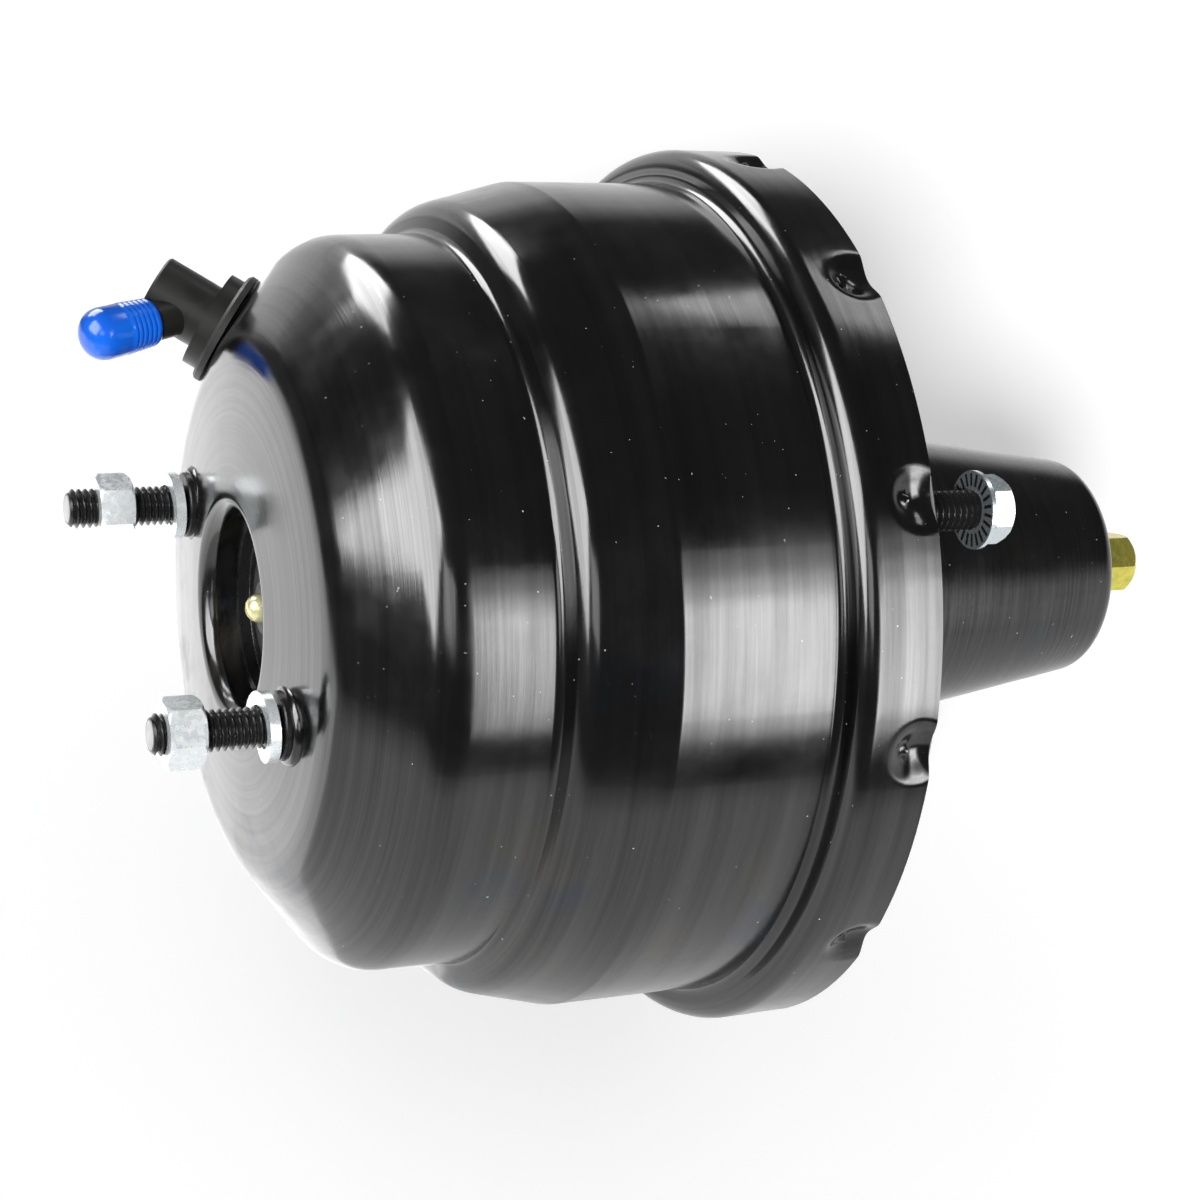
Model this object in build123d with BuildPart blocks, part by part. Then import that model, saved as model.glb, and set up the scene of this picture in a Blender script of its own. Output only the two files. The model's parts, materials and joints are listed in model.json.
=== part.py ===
from build123d import *
import os
from math import atan2, cos, radians, sin, sqrt

# Vacuum brake booster with two diaphragms, in millimetres.
# The booster's axis is X: the master cylinder is at -X, the firewall and pedal at +X.
# X = 0 is the outer face of the rear shell, which sits on the firewall. Z is up in the car.

# Sheet metal
sheet = 1.6
sheet_bend = 2.2
lip_bend = 3.8
step_bend = 7.0
swell_bend = 3.0
rim_bend = 4.6

# Front shell, from the rim at the rear to the pilot lip at the front: lengths along the axis
rim_setback = 9.9
rim_width = 19.5
main_drum_length = 38.6
swell_length = 20.0
step_slope = 2.7
front_drum_length = 25.3
cone_length = 18.2
face_rise = 3.7
pilot_depth = 13.1

# Front shell: radii
main_drum_radius = 99.4
rim_flange_width = 8.2
rim_taper = 0.2
swell_height = 5.2
step_height = 7.2
front_drum_taper = 0.3
cone_height = 24.2
face_bend = 17.0
shoulder_bend = 12.0
pilot_radius = 23.2

# Tabs pressed into the rim that lock the rear shell
lance_count = 12
lance_start_angle = 13.7
lance_setback = 5.9
lance_press_radius = 5.4
lance_depth = 2.5
lance_slit = 0.9

# Rear shell: clamped edge, dished wall and long tapered neck
rear_edge_clearance = 0.4
rear_drum_inset = 1.8
rear_bend = 9.0
neck_root_bend = 5.0
neck_end_bend = 5.0
neck_length = 91.6
neck_taper = 14.3
neck_end_gap = 5.6
neck_mouth_gap = 1.5

# Studs and nuts: 3/8 inch, 16 threads to the inch, with the thread at its mean radius
stud_radius = 4.7625
thread_radius = 4.3
stud_chamfer = 0.9
stud_head_radius = 9.4
stud_head_height = 2.2
stud_knurl_radius = 5.0
nut_width = 14.29
nut_height = 8.33
nut_chamfer_height = 1.0
thread_clearance = 0.08

# Master cylinder studs, each on a flat pad in the domed face
pad_setback = 1.0
pad_thickness = 3.4
pad_overhang = 0.7
front_stud_spacing = 85.725
front_stud_length = 29.7
front_plain_length = 4.3
front_collar_radius = 7.9
front_collar_height = 1.3
far_nut_gap = 14.6
near_nut_gap = 18.6
far_nut_turn = 115.3
near_nut_turn = 103.5

# Split lock washers, resting on the stud collars
washer_overhang = 0.2
washer_bore_clearance = 0.24
washer_thickness = 2.4
washer_rise = 2.4
washer_split_angle = 14.0
washer_turn = 60.0

# Firewall studs
rear_stud_spacing_y = 85.725
rear_stud_spacing_z = 101.6
rear_stud_length = 31.5
rear_plain_length = 6.0
flange_nut_height = 7.4
flange_nut_radius = 9.3
flange_nut_rim = 2.2
flange_nut_gap = 25.0
flange_nut_turn = 114.5

# Clearances
running_clearance = 0.05
press_gap = 0.02
piece_gap = 0.1
spring_gap = 0.1
bead_gap = 0.1
soft_gap = 0.3

# Divider between the two chambers, behind the step, and its seal
secondary_bead_length = 3.0
divider_fit = 0.15
divider_edge_gap = 0.2
divider_crease_gap = 0.5
divider_skirt_length = 6.0
divider_bend = 12.0
divider_hole_gap = 3.6
divider_lip = 1.2
divider_seal_width = 2.8
divider_seal_length = 3.6

# Power piston: tail, hub and nose
tail_radius = 22.0
tail_wall = 4.0
tail_setback = 9.6
chamber_step = 3.0
hub_step = 2.0
nose_step = 4.0
hub_flange_height = 7.0
hub_flange_width = 3.0
primary_setback = 13.4
hub_rear_length = 5.4
secondary_play = 2.2
nose_length = 8.6
reaction_bore = 12.05
reaction_depth = 11.0

# Power piston: air and vacuum passages
vacuum_port_radius = 2.0
vacuum_port_offset = 0.2
vacuum_port_count = 6
passage_radius = 1.6
passage_wall = 2.2
air_passage_count = 2
air_passage_angle = 30.0
air_passage_inset = 1.2
air_exit_setback = 3.0
vacuum_cross_gap = 0.5
vacuum_cross_count = 3

# Diaphragms and their support plates
rubber = 2.0
plate_sheet = 1.4
secondary_plate_inset = 21.0
secondary_rim_depth = 5.0
primary_plate_inset = 11.4
primary_rim_depth = 11.0
secondary_bead_rise = 4.0
secondary_bead_width = 4.0
primary_bead_rise = 0.4
primary_bead_edge = 2.6
primary_web_setback = 5.7
retainer_width = 1.5
front_retainer_margin = 4.2
rear_retainer_margin = 9.0

# Output pushrod
reaction_disc_thickness = 4.0
output_head_thickness = 3.0
output_clip_thickness = 1.5
output_rod_radius = 6.35
output_rod_reach = 4.8
screw_head_radius = 3.4
screw_head_length = 4.0
screw_dome = 3.2
screw_shank_radius = 2.5
screw_shank_length = 14.0
screw_slot = 0.9
screw_slot_depth = 1.6
screw_turn = 30.0

# Seal for the output pushrod, pressed into the pilot neck
cup_depth = 4.0
cup_sheet = 1.2
cup_bend = 1.5
cup_hole_gap = 6.15
cup_lip = 1.2
cup_lip_width = 2.5

# Control valve: plunger, its key, and the poppet
valve_travel = 2.5
plunger_end_play = 0.2
stem_radius = 5.0
stem_groove_radius = 3.5
plunger_body_radius = 7.0
key_setback = 24.0
key_thickness = 2.0
key_width = 11.0
key_reach = 3.0
key_play = 0.2
key_inset = 1.0
plunger_step_setback = 13.5
control_floor_depth = 3.5
control_groove_width = 4.0
vacuum_seat_height = 6.0
vacuum_seat_width = 1.8
vacuum_seat_inset = 2.0
vacuum_gap = 1.0
air_seat_overlap = 1.7
air_seat_width = 3.0
poppet_hole_gap = 0.3
poppet_margin = 0.8
poppet_face = 2.5
poppet_flange = 1.6
poppet_wall = 1.4
poppet_length = 20.0
poppet_retainer_width = 2.5
poppet_retainer_hole = 9.0

# Input pushrod
ball_setback = 12.0
ball_radius = 4.8
socket_wall = 2.4
socket_length = 7.0
socket_mouth_radius = 4.3
rod_neck_radius = 3.3
rod_neck_length = 10.0
rod_radius = 4.7
rod_engagement = 6.4
hex_width = 14.29
hex_length = 19.2
hex_gap = 1.4
hex_turn = 94.0
hex_chamfer = 1.6
input_thread_radius = 4.25
input_thread_depth = 12.0
rod_spring_length = 25.5
rod_collar_width = 1.5
rod_collar_height = 1.7
spring_plate_margin = 2.0
spring_plate_width = 1.5
chamber_end_margin = 4.5

# Filter in the tail of the piston
filter_length = 13.0
felt_length = 4.0
filter_hole = 9.2
filter_fit = 0.1
filter_clip_width = 1.5
filter_clip_hole = 11.0
filter_clip_setback = 3.5

# Guide and seal for the tail, wedged in the neck
guide_x = 30.0
guide_length = 9.0
seal_length = 9.0
seal_groove_start = 2.0
seal_groove_width = 3.0

# Springs: wire radius, coil radius and number of turns
return_wire = 1.6
return_coil = 28.8
return_turns = 3.4
rod_spring_wire = 0.65
rod_spring_margin = 2.2
rod_spring_turns = 6.0
poppet_spring_wire = 0.5
poppet_spring_margin = 1.4
poppet_spring_turns = 5.0
check_spring_wire = 0.3
check_spring_margin = 1.7
check_spring_turns = 5.0

# Vacuum check valve on the cone of the front shell, along Z of its own seat
valve_angle = 28.5
valve_cone_share = 0.5
grommet_radius = 14.4
grommet_top = 2.2
grommet_edge = 1.5
grommet_neck_radius = 9.4
grommet_hole_clearance = 0.1
grommet_seat_gap = 0.05
grommet_inner_radius = 12.4
grommet_inner_drop = 2.6
grommet_inner_edge = 3.8
grommet_tail = 5.2
grommet_tail_radius = 9.0
valve_stem_radius = 5.95
valve_stem_bore = 3.6
valve_stem_drop = 1.4
valve_barb_height = 0.75
valve_disc_radius = 12.2
valve_disc_thickness = 3.8
barrel_radius = 8.2
barrel_length = 15.0
barrel_wall = 1.6
barrel_floor = 1.2
barrel_end = 2.0
barrel_edge = 0.5
check_disc_fit = 0.7
check_disc_thickness = 1.6
nozzle_height = 9.5
nozzle_tilt = 34.0
nozzle_swing = 10.0
nozzle_radius = 4.9
nozzle_bore = 2.6
nozzle_length = 26.0
cap_start = 13.0
cap_length = 19.0
cap_end_wall = 1.55
cap_mouth_wall = 0.85
cap_taper_length = 11.0
cap_dome = 5.2
cap_clearance = 0.06
cap_bore_depth = 16.0

# Places along the axis that follow from these sizes
rim_edge_x = -rim_setback
lance_x = rim_edge_x - lance_setback
flange_x = rim_edge_x - rim_width
main_drum_x = flange_x - main_drum_length
step_top_x = main_drum_x - swell_length
step_x = step_top_x - step_slope
shoulder_x = step_x - front_drum_length
face_x = shoulder_x - cone_length
lip_x = face_x - face_rise
front_seat_x = lip_x + pad_setback
pilot_neck_x = lip_x + pilot_depth
neck_end_x = neck_length
secondary_bead_front = step_x + 2 * (sheet + bead_gap)
divider_x = secondary_bead_front + secondary_bead_length + bead_gap
divider_crease_x = main_drum_x + divider_crease_gap
divider_skirt_x = divider_crease_x + divider_skirt_length
secondary_seat_x = divider_x - secondary_play
hub_front_x = secondary_seat_x - nose_length
reaction_floor_x = hub_front_x + reaction_depth
primary_seat_x = -primary_setback
hub_rear_x = primary_seat_x + hub_rear_length
air_exit_x = hub_rear_x + air_exit_setback
tail_end_x = neck_end_x - tail_setback
plunger_tip_x = reaction_floor_x + valve_travel + plunger_end_play
key_x = reaction_floor_x + key_setback
plunger_step_x = key_x + plunger_step_setback
vacuum_cross_x = plunger_step_x + vacuum_cross_gap
control_floor_x = plunger_step_x + control_floor_depth
chamber_floor_x = control_floor_x + control_groove_width
vacuum_seat_x = chamber_floor_x + vacuum_seat_height
poppet_x = vacuum_seat_x + vacuum_gap
poppet_end_x = poppet_x + poppet_length
retainer_back = poppet_end_x + poppet_retainer_width
ball_x = poppet_x + ball_setback
socket_end_x = ball_x + socket_length
plate_front = retainer_back + rod_spring_length
rod_collar_x = plate_front + spring_plate_width
chamber_end_x = rod_collar_x + chamber_end_margin
hex_x = neck_end_x + hex_gap
hex_end_x = hex_x + hex_length
rod_end_x = hex_x + rod_engagement
output_rod_x = pilot_neck_x - output_rod_reach
clip_x = tail_end_x - filter_clip_setback - filter_clip_width
felt_x = clip_x - felt_length
filter_x = felt_x - filter_length

# Radii that follow from these sizes
step_radius = main_drum_radius - swell_height
front_drum_radius = step_radius - step_height
shoulder_radius = front_drum_radius - front_drum_taper
face_edge_radius = shoulder_radius - cone_height
rim_radius = main_drum_radius + rim_flange_width
rim_edge_radius = rim_radius - rim_taper
pad_radius = front_collar_radius + pad_overhang
rear_drum_radius = main_drum_radius - rear_drum_inset
washer_radius = front_collar_radius + washer_overhang
washer_width = washer_radius - stud_radius - washer_bore_clearance
hub_radius = tail_radius + hub_step
nose_radius = hub_radius - nose_step
hub_flange_radius = hub_radius + hub_flange_height
tail_bore = tail_radius - tail_wall
chamber_bore = tail_bore - chamber_step
neck_end_radius = tail_radius + neck_end_gap
neck_root_radius = neck_end_radius + neck_taper
neck_mouth_radius = tail_bore + neck_mouth_gap
vacuum_port_circle = chamber_bore + vacuum_port_offset
divider_radius = main_drum_radius - sheet - divider_fit
divider_shoulder_radius = step_radius - sheet - divider_edge_gap
divider_hole_radius = hub_radius + divider_hole_gap
divider_seal_radius = divider_hole_radius + divider_seal_width
secondary_plate_radius = front_drum_radius - secondary_plate_inset
primary_plate_radius = main_drum_radius - primary_plate_inset
secondary_bead_outer = front_drum_radius + secondary_bead_rise
secondary_bead_inner = secondary_bead_outer - secondary_bead_width
primary_bead_inner = main_drum_radius + primary_bead_rise
primary_web_x = lance_x - primary_web_setback
front_retainer_radius = return_coil + front_retainer_margin
rear_retainer_radius = hub_radius + rear_retainer_margin
cup_hole_radius = output_rod_radius + cup_hole_gap
cup_lip_radius = cup_hole_radius + cup_lip_width
socket_radius = ball_radius + socket_wall
poppet_hole = socket_radius + poppet_hole_gap
poppet_radius = chamber_bore - poppet_margin
poppet_sleeve_outer = poppet_radius - poppet_flange
poppet_sleeve_inner = poppet_sleeve_outer - poppet_wall
vacuum_seat_outer = poppet_radius - vacuum_seat_inset
vacuum_seat_inner = vacuum_seat_outer - vacuum_seat_width
air_seat_radius = poppet_hole + air_seat_overlap
rod_collar_radius = rod_radius + rod_collar_height
spring_plate_radius = chamber_bore - spring_plate_margin
rod_spring_coil = poppet_retainer_hole + rod_spring_margin
poppet_spring_coil = poppet_sleeve_inner - poppet_spring_margin
valve_stem_end = grommet_tail + valve_stem_drop
valve_barb_radius = valve_stem_radius + valve_barb_height
valve_disc_top = grommet_top + valve_disc_thickness
barrel_top = valve_disc_top + barrel_length
barrel_bore = barrel_radius - barrel_wall
barrel_floor_height = valve_disc_top + barrel_floor
check_disc_radius = barrel_bore - check_disc_fit
check_spring_coil = check_disc_radius - check_spring_margin
cap_end_radius = nozzle_radius + cap_end_wall
cap_mouth_radius = nozzle_radius + cap_mouth_wall

os.makedirs("parts", exist_ok=True)


def outline(*points):
    """A closed outline of (along the axis, radius) points."""
    with BuildSketch(Plane.XY) as profile:
        with BuildLine():
            Polyline(*points, close=True)
        make_face()
    return profile.sketch


def ring(start, end, inner, outer):
    """The section of a plain ring between two places on the axis."""
    return outline((start, inner), (end, inner), (end, outer), (start, outer))


def pressed(points, bends, thickness):
    """The section of a sheet bent along (along the axis, radius) points, which are one of its sides."""
    with BuildSketch(Plane.XY) as profile:
        with BuildLine():
            FilletPolyline(*points, radius=bends)
            offset(amount=thickness, side=Side.RIGHT)
        make_face()
    return profile.sketch


def save(node, name):
    """Label a finished piece and write it to its file."""
    node.part.label = name
    export_step(node.part, f"parts/{name}.step")


def coil(wire, radius, turns, start, end):
    """A coil spring about the X axis, whose wire just clears its two seats."""
    margin = wire + spring_gap
    rise = end - start - 2 * margin
    with BuildPart() as spring:
        with BuildLine():
            path = Helix(pitch=rise / turns, height=rise, radius=radius)
        with BuildSketch(Plane(origin=path @ 0, z_dir=path % 0)):
            Circle(wire)
        sweep(path=path, is_frenet=True)
    spring.part = Plane.YZ.offset(start + margin).location * spring.part
    return spring


def stud(wall, collar_radius, collar_height, plain_length, length):
    """A pressed-in stud along Z: head and knurl behind the wall's outer face at Z = 0."""
    with BuildPart() as body:
        with Locations((0, 0, -wall)):
            Cylinder(stud_head_radius, stud_head_height, align=stack_down)
        Cylinder(stud_knurl_radius - press_gap, wall, align=stack_down)
        Cylinder(collar_radius, collar_height, align=stack_up)
        Cylinder(stud_radius, plain_length, align=stack_up)
        with Locations((0, 0, plain_length)):
            Cylinder(thread_radius, length - plain_length, align=stack_up)
        chamfer(body.edges().sort_by(Axis.Z)[-1], stud_chamfer)
    return body.part


def hex_bar(width, height, turn, bottom_chamfer, top_chamfer):
    """A hexagonal bar along Z with its corners turned off at both ends."""
    corner = width / sqrt(3)
    with BuildPart() as barrel:
        Cylinder(corner, height, align=stack_up)
        if bottom_chamfer:
            chamfer(barrel.edges().sort_by(Axis.Z)[0], bottom_chamfer)
        chamfer(barrel.edges().sort_by(Axis.Z)[-1], top_chamfer)
    with BuildPart() as bar:
        with BuildSketch():
            RegularPolygon(width / 2, 6, major_radius=False, rotation=turn)
        extrude(amount=height)
        add(barrel.part, mode=Mode.INTERSECT)
    return bar.part


def nut(turn):
    """A hexagon nut along Z, with its bore just clear of the thread."""
    with BuildPart() as body:
        add(hex_bar(nut_width, nut_height, turn, nut_chamfer_height, nut_chamfer_height))
        Cylinder(thread_radius + thread_clearance, nut_height, align=stack_up, mode=Mode.SUBTRACT)
    return body.part


def front_spots():
    """The two master cylinder studs, on a plane square to the axis."""
    return GridLocations(front_stud_spacing, front_stud_spacing, 2, 1)


def rear_spots():
    """The four firewall studs, on a plane square to the axis."""
    return GridLocations(rear_stud_spacing_y, rear_stud_spacing_z, 2, 2)


stack_up = (Align.CENTER, Align.CENTER, Align.MIN)
stack_down = (Align.CENTER, Align.CENTER, Align.MAX)

# ---------------------------------------------------------------- shared places
front_seat = Plane.YZ.offset(front_seat_x)
front_seat_outward = Plane(origin=(front_seat_x, 0, 0), x_dir=(0, 1, 0), z_dir=(-1, 0, 0))

# The seat of the check valve, on the cone and square to it
cone_angle = atan2(shoulder_radius - face_edge_radius, shoulder_x - face_x)
seat_x = face_x + valve_cone_share * (shoulder_x - face_x)
seat_radius = face_edge_radius + valve_cone_share * (shoulder_radius - face_edge_radius)
turn = radians(valve_angle)
outward = Vector(0, cos(turn), sin(turn))
valve_plane = Plane(
    origin=Vector(seat_x, 0, 0) + outward * seat_radius,
    x_dir=Vector(cos(cone_angle), 0, 0) + outward * sin(cone_angle),
    z_dir=Vector(-sin(cone_angle), 0, 0) + outward * cos(cone_angle),
)


def rim_outer_radius(x):
    """The outside radius of the tapered rim."""
    share = (x - flange_x) / (rim_edge_x - flange_x)
    return rim_radius + share * (rim_edge_radius - rim_radius)


def neck_outer_radius(x):
    """The outside radius of the tapered neck."""
    return neck_root_radius + x / neck_end_x * (neck_end_radius - neck_root_radius)


# ---------------------------------------------------------------- front shell
front_path = [
    (pilot_neck_x, pilot_radius),
    (lip_x, pilot_radius),
    (face_x, face_edge_radius),
    (shoulder_x, shoulder_radius),
    (step_x, front_drum_radius),
    (step_top_x, step_radius),
    (main_drum_x, main_drum_radius),
    (flange_x, main_drum_radius),
    (flange_x, rim_radius),
    (rim_edge_x, rim_edge_radius),
]
front_bends = [
    lip_bend, face_bend, shoulder_bend, sheet_bend, step_bend, swell_bend, sheet_bend, rim_bend,
]

# One tab in its own frame: Z along the booster's axis, X away from it, the sheared edge at Z = 0
lance_length = rim_edge_x - lance_x
pocket_radius = lance_press_radius
tab_top = lance_depth - pocket_radius - sheet / 2
with BuildPart() as lance:
    Sphere(pocket_radius + sheet)
    with Locations((tab_top, 0, 0)):
        Box(pocket_radius, 3 * pocket_radius, lance_length, align=(Align.MAX, Align.CENTER, Align.MIN),
            mode=Mode.INTERSECT)
pocket_half_width = sqrt(pocket_radius**2 - (pocket_radius - lance_depth) ** 2)
lance_radius = rim_outer_radius(lance_x) - lance_depth + pocket_radius

with BuildPart() as front_shell:
    revolve(pressed(front_path, front_bends, sheet), axis=Axis.X)
    with Locations(Plane.YZ.offset(lance_x)):
        with PolarLocations(lance_radius, lance_count, lance_start_angle):
            add(lance.part)
            Sphere(pocket_radius, arc_size1=0, mode=Mode.SUBTRACT)
            with Locations((-pocket_radius, 0, 0)):
                Box(3 * lance_depth, 2 * pocket_half_width, lance_slit,
                    align=(Align.CENTER, Align.CENTER, Align.MAX), mode=Mode.SUBTRACT)
    with Locations(front_seat):
        with front_spots():
            Cylinder(pad_radius, pad_thickness, align=stack_up)
            Cylinder(stud_knurl_radius, pad_thickness, align=stack_up, mode=Mode.SUBTRACT)
    with Locations(valve_plane):
        Cylinder(grommet_neck_radius + grommet_hole_clearance, 4 * sheet, mode=Mode.SUBTRACT)
save(front_shell, "front_shell")

# ---------------------------------------------------------------- rear shell and neck
rear_edge_radius = rim_outer_radius(lance_x) - sheet - rear_edge_clearance
rear_path = [
    (lance_x, rear_edge_radius),
    (lance_x, rear_drum_radius),
    (0, rear_drum_radius),
    (0, neck_root_radius),
    (neck_end_x, neck_end_radius),
    (neck_end_x, neck_mouth_radius),
]
with BuildPart() as rear_shell:
    revolve(
        pressed(rear_path, [sheet_bend, rear_bend, neck_root_bend, neck_end_bend], sheet),
        axis=Axis.X,
    )
    with Locations(Plane.YZ):
        with rear_spots():
            Cylinder(stud_knurl_radius, 4 * sheet, mode=Mode.SUBTRACT)
save(rear_shell, "rear_shell")

# ---------------------------------------------------------------- studs, nuts and washers
front_stud = stud(
    pad_thickness, front_collar_radius, front_collar_height, front_plain_length, front_stud_length
)
with BuildPart() as master_cylinder_studs:
    with Locations(front_seat_outward):
        with front_spots():
            add(front_stud)
save(master_cylinder_studs, "master_cylinder_studs")

rear_stud = stud(sheet, stud_radius, rear_plain_length, rear_plain_length, rear_stud_length)
with BuildPart() as firewall_studs:
    with Locations(Plane.YZ):
        with rear_spots():
            add(rear_stud)
save(firewall_studs, "firewall_studs")

with BuildPart() as master_cylinder_nuts:
    far_spot = (front_seat_x - far_nut_gap - nut_height, front_stud_spacing / 2, 0)
    near_spot = (front_seat_x - near_nut_gap - nut_height, -front_stud_spacing / 2, 0)
    with Locations(Plane(origin=far_spot, x_dir=(0, 1, 0), z_dir=(1, 0, 0))):
        add(nut(far_nut_turn))
    with Locations(Plane(origin=near_spot, x_dir=(0, 1, 0), z_dir=(1, 0, 0))):
        add(nut(near_nut_turn))
save(master_cylinder_nuts, "master_cylinder_nuts")

# One flange nut, with its flange at Z = 0
flange_height = flange_nut_height - flange_nut_rim
with BuildPart() as flange_nut:
    with BuildSketch(Plane.XZ):
        with BuildLine():
            Polyline(
                (0, 0),
                (flange_nut_radius, 0),
                (flange_nut_radius, flange_nut_rim / 2),
                (nut_width / 2, flange_nut_rim),
                (0, flange_nut_rim),
                close=True,
            )
        make_face()
    revolve(axis=Axis.Z)
    with Locations((0, 0, flange_nut_rim)):
        add(hex_bar(nut_width, flange_height, flange_nut_turn, 0, nut_chamfer_height))
    Cylinder(
        thread_radius + thread_clearance, flange_nut_height, align=stack_up, mode=Mode.SUBTRACT
    )
with BuildPart() as firewall_nuts:
    with Locations(Plane.YZ.offset(flange_nut_gap)):
        with rear_spots():
            add(flange_nut.part)
save(firewall_nuts, "firewall_nuts")

# One split lock washer, sprung open along Z, with its lowest corner at Z = 0
washer_mean = washer_radius - washer_width / 2
washer_share = 1 - washer_split_angle / 360
with BuildPart() as lock_washer:
    with BuildLine():
        washer_path = Helix(
            pitch=washer_rise / washer_share, height=washer_rise, radius=washer_mean,
        )
    with BuildSketch(Plane.XZ):
        with Locations((washer_mean, 0)):
            Rectangle(washer_width, washer_thickness)
    sweep(path=washer_path, is_frenet=True)
with BuildPart() as lock_washers:
    collar_face = front_seat_x - front_collar_height - washer_thickness / 2 - spring_gap
    with Locations(Plane(origin=(collar_face, 0, 0), x_dir=(0, 1, 0), z_dir=(-1, 0, 0))):
        with front_spots():
            add(lock_washer.part, rotation=(0, 0, washer_turn))
save(lock_washers, "lock_washers")

# ---------------------------------------------------------------- divider and its seal
divider_back = divider_x + sheet
divider_path = [
    (divider_x, divider_hole_radius),
    (divider_x, divider_shoulder_radius),
    (divider_crease_x, divider_radius),
    (divider_skirt_x, divider_radius),
]
with BuildPart() as chamber_divider:
    revolve(pressed(divider_path, [sheet_bend, divider_bend], sheet), axis=Axis.X)
save(chamber_divider, "chamber_divider")


def edge_seal(front, back, bore, hole_radius, lip, lip_radius, length):
    """The section of a seal gripping the edge of a hole in a sheet, longer on its back side."""
    return outline(
        (front - lip, bore),
        (back + length, bore),
        (back + length, hole_radius),
        (back + lip, lip_radius),
        (back, lip_radius),
        (back, hole_radius),
        (front, hole_radius),
        (front, lip_radius),
        (front - lip, lip_radius),
    )


with BuildPart() as divider_seal:
    revolve(
        edge_seal(divider_x, divider_back, hub_radius + running_clearance, divider_hole_radius,
                  divider_lip, divider_seal_radius, divider_seal_length),
        axis=Axis.X,
    )
save(divider_seal, "divider_seal")

# ---------------------------------------------------------------- seal for the output pushrod
cup_radius = pilot_radius - press_gap
cup_path = [
    (pilot_neck_x - cup_depth, cup_radius),
    (pilot_neck_x, cup_radius),
    (pilot_neck_x, cup_hole_radius),
]
with BuildPart() as seal_cup:
    revolve(pressed(cup_path, cup_bend, cup_sheet), axis=Axis.X)
save(seal_cup, "seal_cup")

with BuildPart() as pushrod_seal:
    revolve(
        edge_seal(pilot_neck_x - cup_sheet, pilot_neck_x, output_rod_radius + running_clearance,
                  cup_hole_radius, cup_lip, cup_lip_radius, cup_lip),
        axis=Axis.X,
    )
save(pushrod_seal, "pushrod_seal")

# ---------------------------------------------------------------- power piston
with BuildPart() as power_piston:
    revolve(
        outline(
            (hub_front_x, reaction_bore),
            (hub_front_x, nose_radius),
            (secondary_seat_x, nose_radius),
            (secondary_seat_x, hub_radius),
            (primary_seat_x - hub_flange_width, hub_radius),
            (primary_seat_x - hub_flange_width, hub_flange_radius),
            (primary_seat_x, hub_flange_radius),
            (primary_seat_x, hub_radius),
            (hub_rear_x, hub_radius),
            (hub_rear_x, tail_radius),
            (tail_end_x, tail_radius),
            (tail_end_x, tail_bore),
            (chamber_end_x, tail_bore),
            (chamber_end_x, chamber_bore),
            (chamber_floor_x, chamber_bore),
            (chamber_floor_x, vacuum_seat_outer),
            (vacuum_seat_x, vacuum_seat_outer),
            (vacuum_seat_x, vacuum_seat_inner),
            (control_floor_x, vacuum_seat_inner),
            (control_floor_x, plunger_body_radius + running_clearance),
            (plunger_step_x, plunger_body_radius + running_clearance),
            (plunger_step_x, stem_radius + running_clearance),
            (reaction_floor_x, stem_radius + running_clearance),
            (reaction_floor_x, reaction_bore),
        ),
        axis=Axis.X,
    )
    vacuum_port_length = chamber_floor_x + vacuum_port_radius - hub_front_x
    with Locations(Plane.YZ.offset(hub_front_x)):
        with PolarLocations(vacuum_port_circle, vacuum_port_count):
            Cylinder(vacuum_port_radius, vacuum_port_length, align=stack_up, mode=Mode.SUBTRACT)
    passage_circle = chamber_bore + passage_wall + passage_radius
    passage_start = divider_x - air_passage_inset - passage_radius
    air_length = air_exit_x + passage_radius - passage_start
    with Locations(Plane.YZ.offset(passage_start)):
        with PolarLocations(passage_circle, air_passage_count, air_passage_angle):
            Cylinder(passage_radius, air_length, align=stack_up, mode=Mode.SUBTRACT)
    for place, count, start, first, reach in (
        (divider_x - air_passage_inset, air_passage_count, air_passage_angle, passage_circle,
         hub_radius),
        ((control_floor_x + chamber_floor_x) / 2, air_passage_count, air_passage_angle,
         plunger_body_radius, passage_circle - plunger_body_radius),
        (air_exit_x, air_passage_count, air_passage_angle, passage_circle, hub_radius),
        (vacuum_cross_x, vacuum_cross_count, 0, vacuum_port_circle, hub_radius),
    ):
        with Locations(Plane.YZ.offset(place)):
            with PolarLocations(first, count, start):
                Cylinder(passage_radius, reach, rotation=(0, 90, 0), align=stack_up,
                         mode=Mode.SUBTRACT)
    with Locations((key_x + key_thickness / 2, 0, key_reach)):
        Box(key_thickness + key_play, key_width + key_play, hub_radius + 2 * key_reach,
            align=stack_down, mode=Mode.SUBTRACT)
save(power_piston, "power_piston")

# The key that stops the plunger, pushed in from below
with BuildPart() as plunger_key:
    key_top = key_reach - key_play
    with Locations((key_x + key_thickness / 2, 0, key_top)):
        Box(key_thickness, key_width, key_top + hub_radius - key_inset, align=stack_down)
    with BuildSketch(Plane.YZ.offset(key_x)):
        SlotCenterPoint((0, key_reach), (0, 0), 2 * (stem_groove_radius + running_clearance))
    extrude(amount=key_thickness, mode=Mode.SUBTRACT)
save(plunger_key, "plunger_key")

# ---------------------------------------------------------------- plates and diaphragms
secondary_face = secondary_seat_x - rubber
secondary_front = secondary_face - plate_sheet
secondary_path = [
    (secondary_front - secondary_rim_depth, secondary_plate_radius),
    (secondary_face, secondary_plate_radius),
    (secondary_face, nose_radius),
]
with BuildPart() as secondary_plate:
    revolve(pressed(secondary_path, sheet_bend, plate_sheet), axis=Axis.X)
save(secondary_plate, "secondary_plate")

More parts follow.
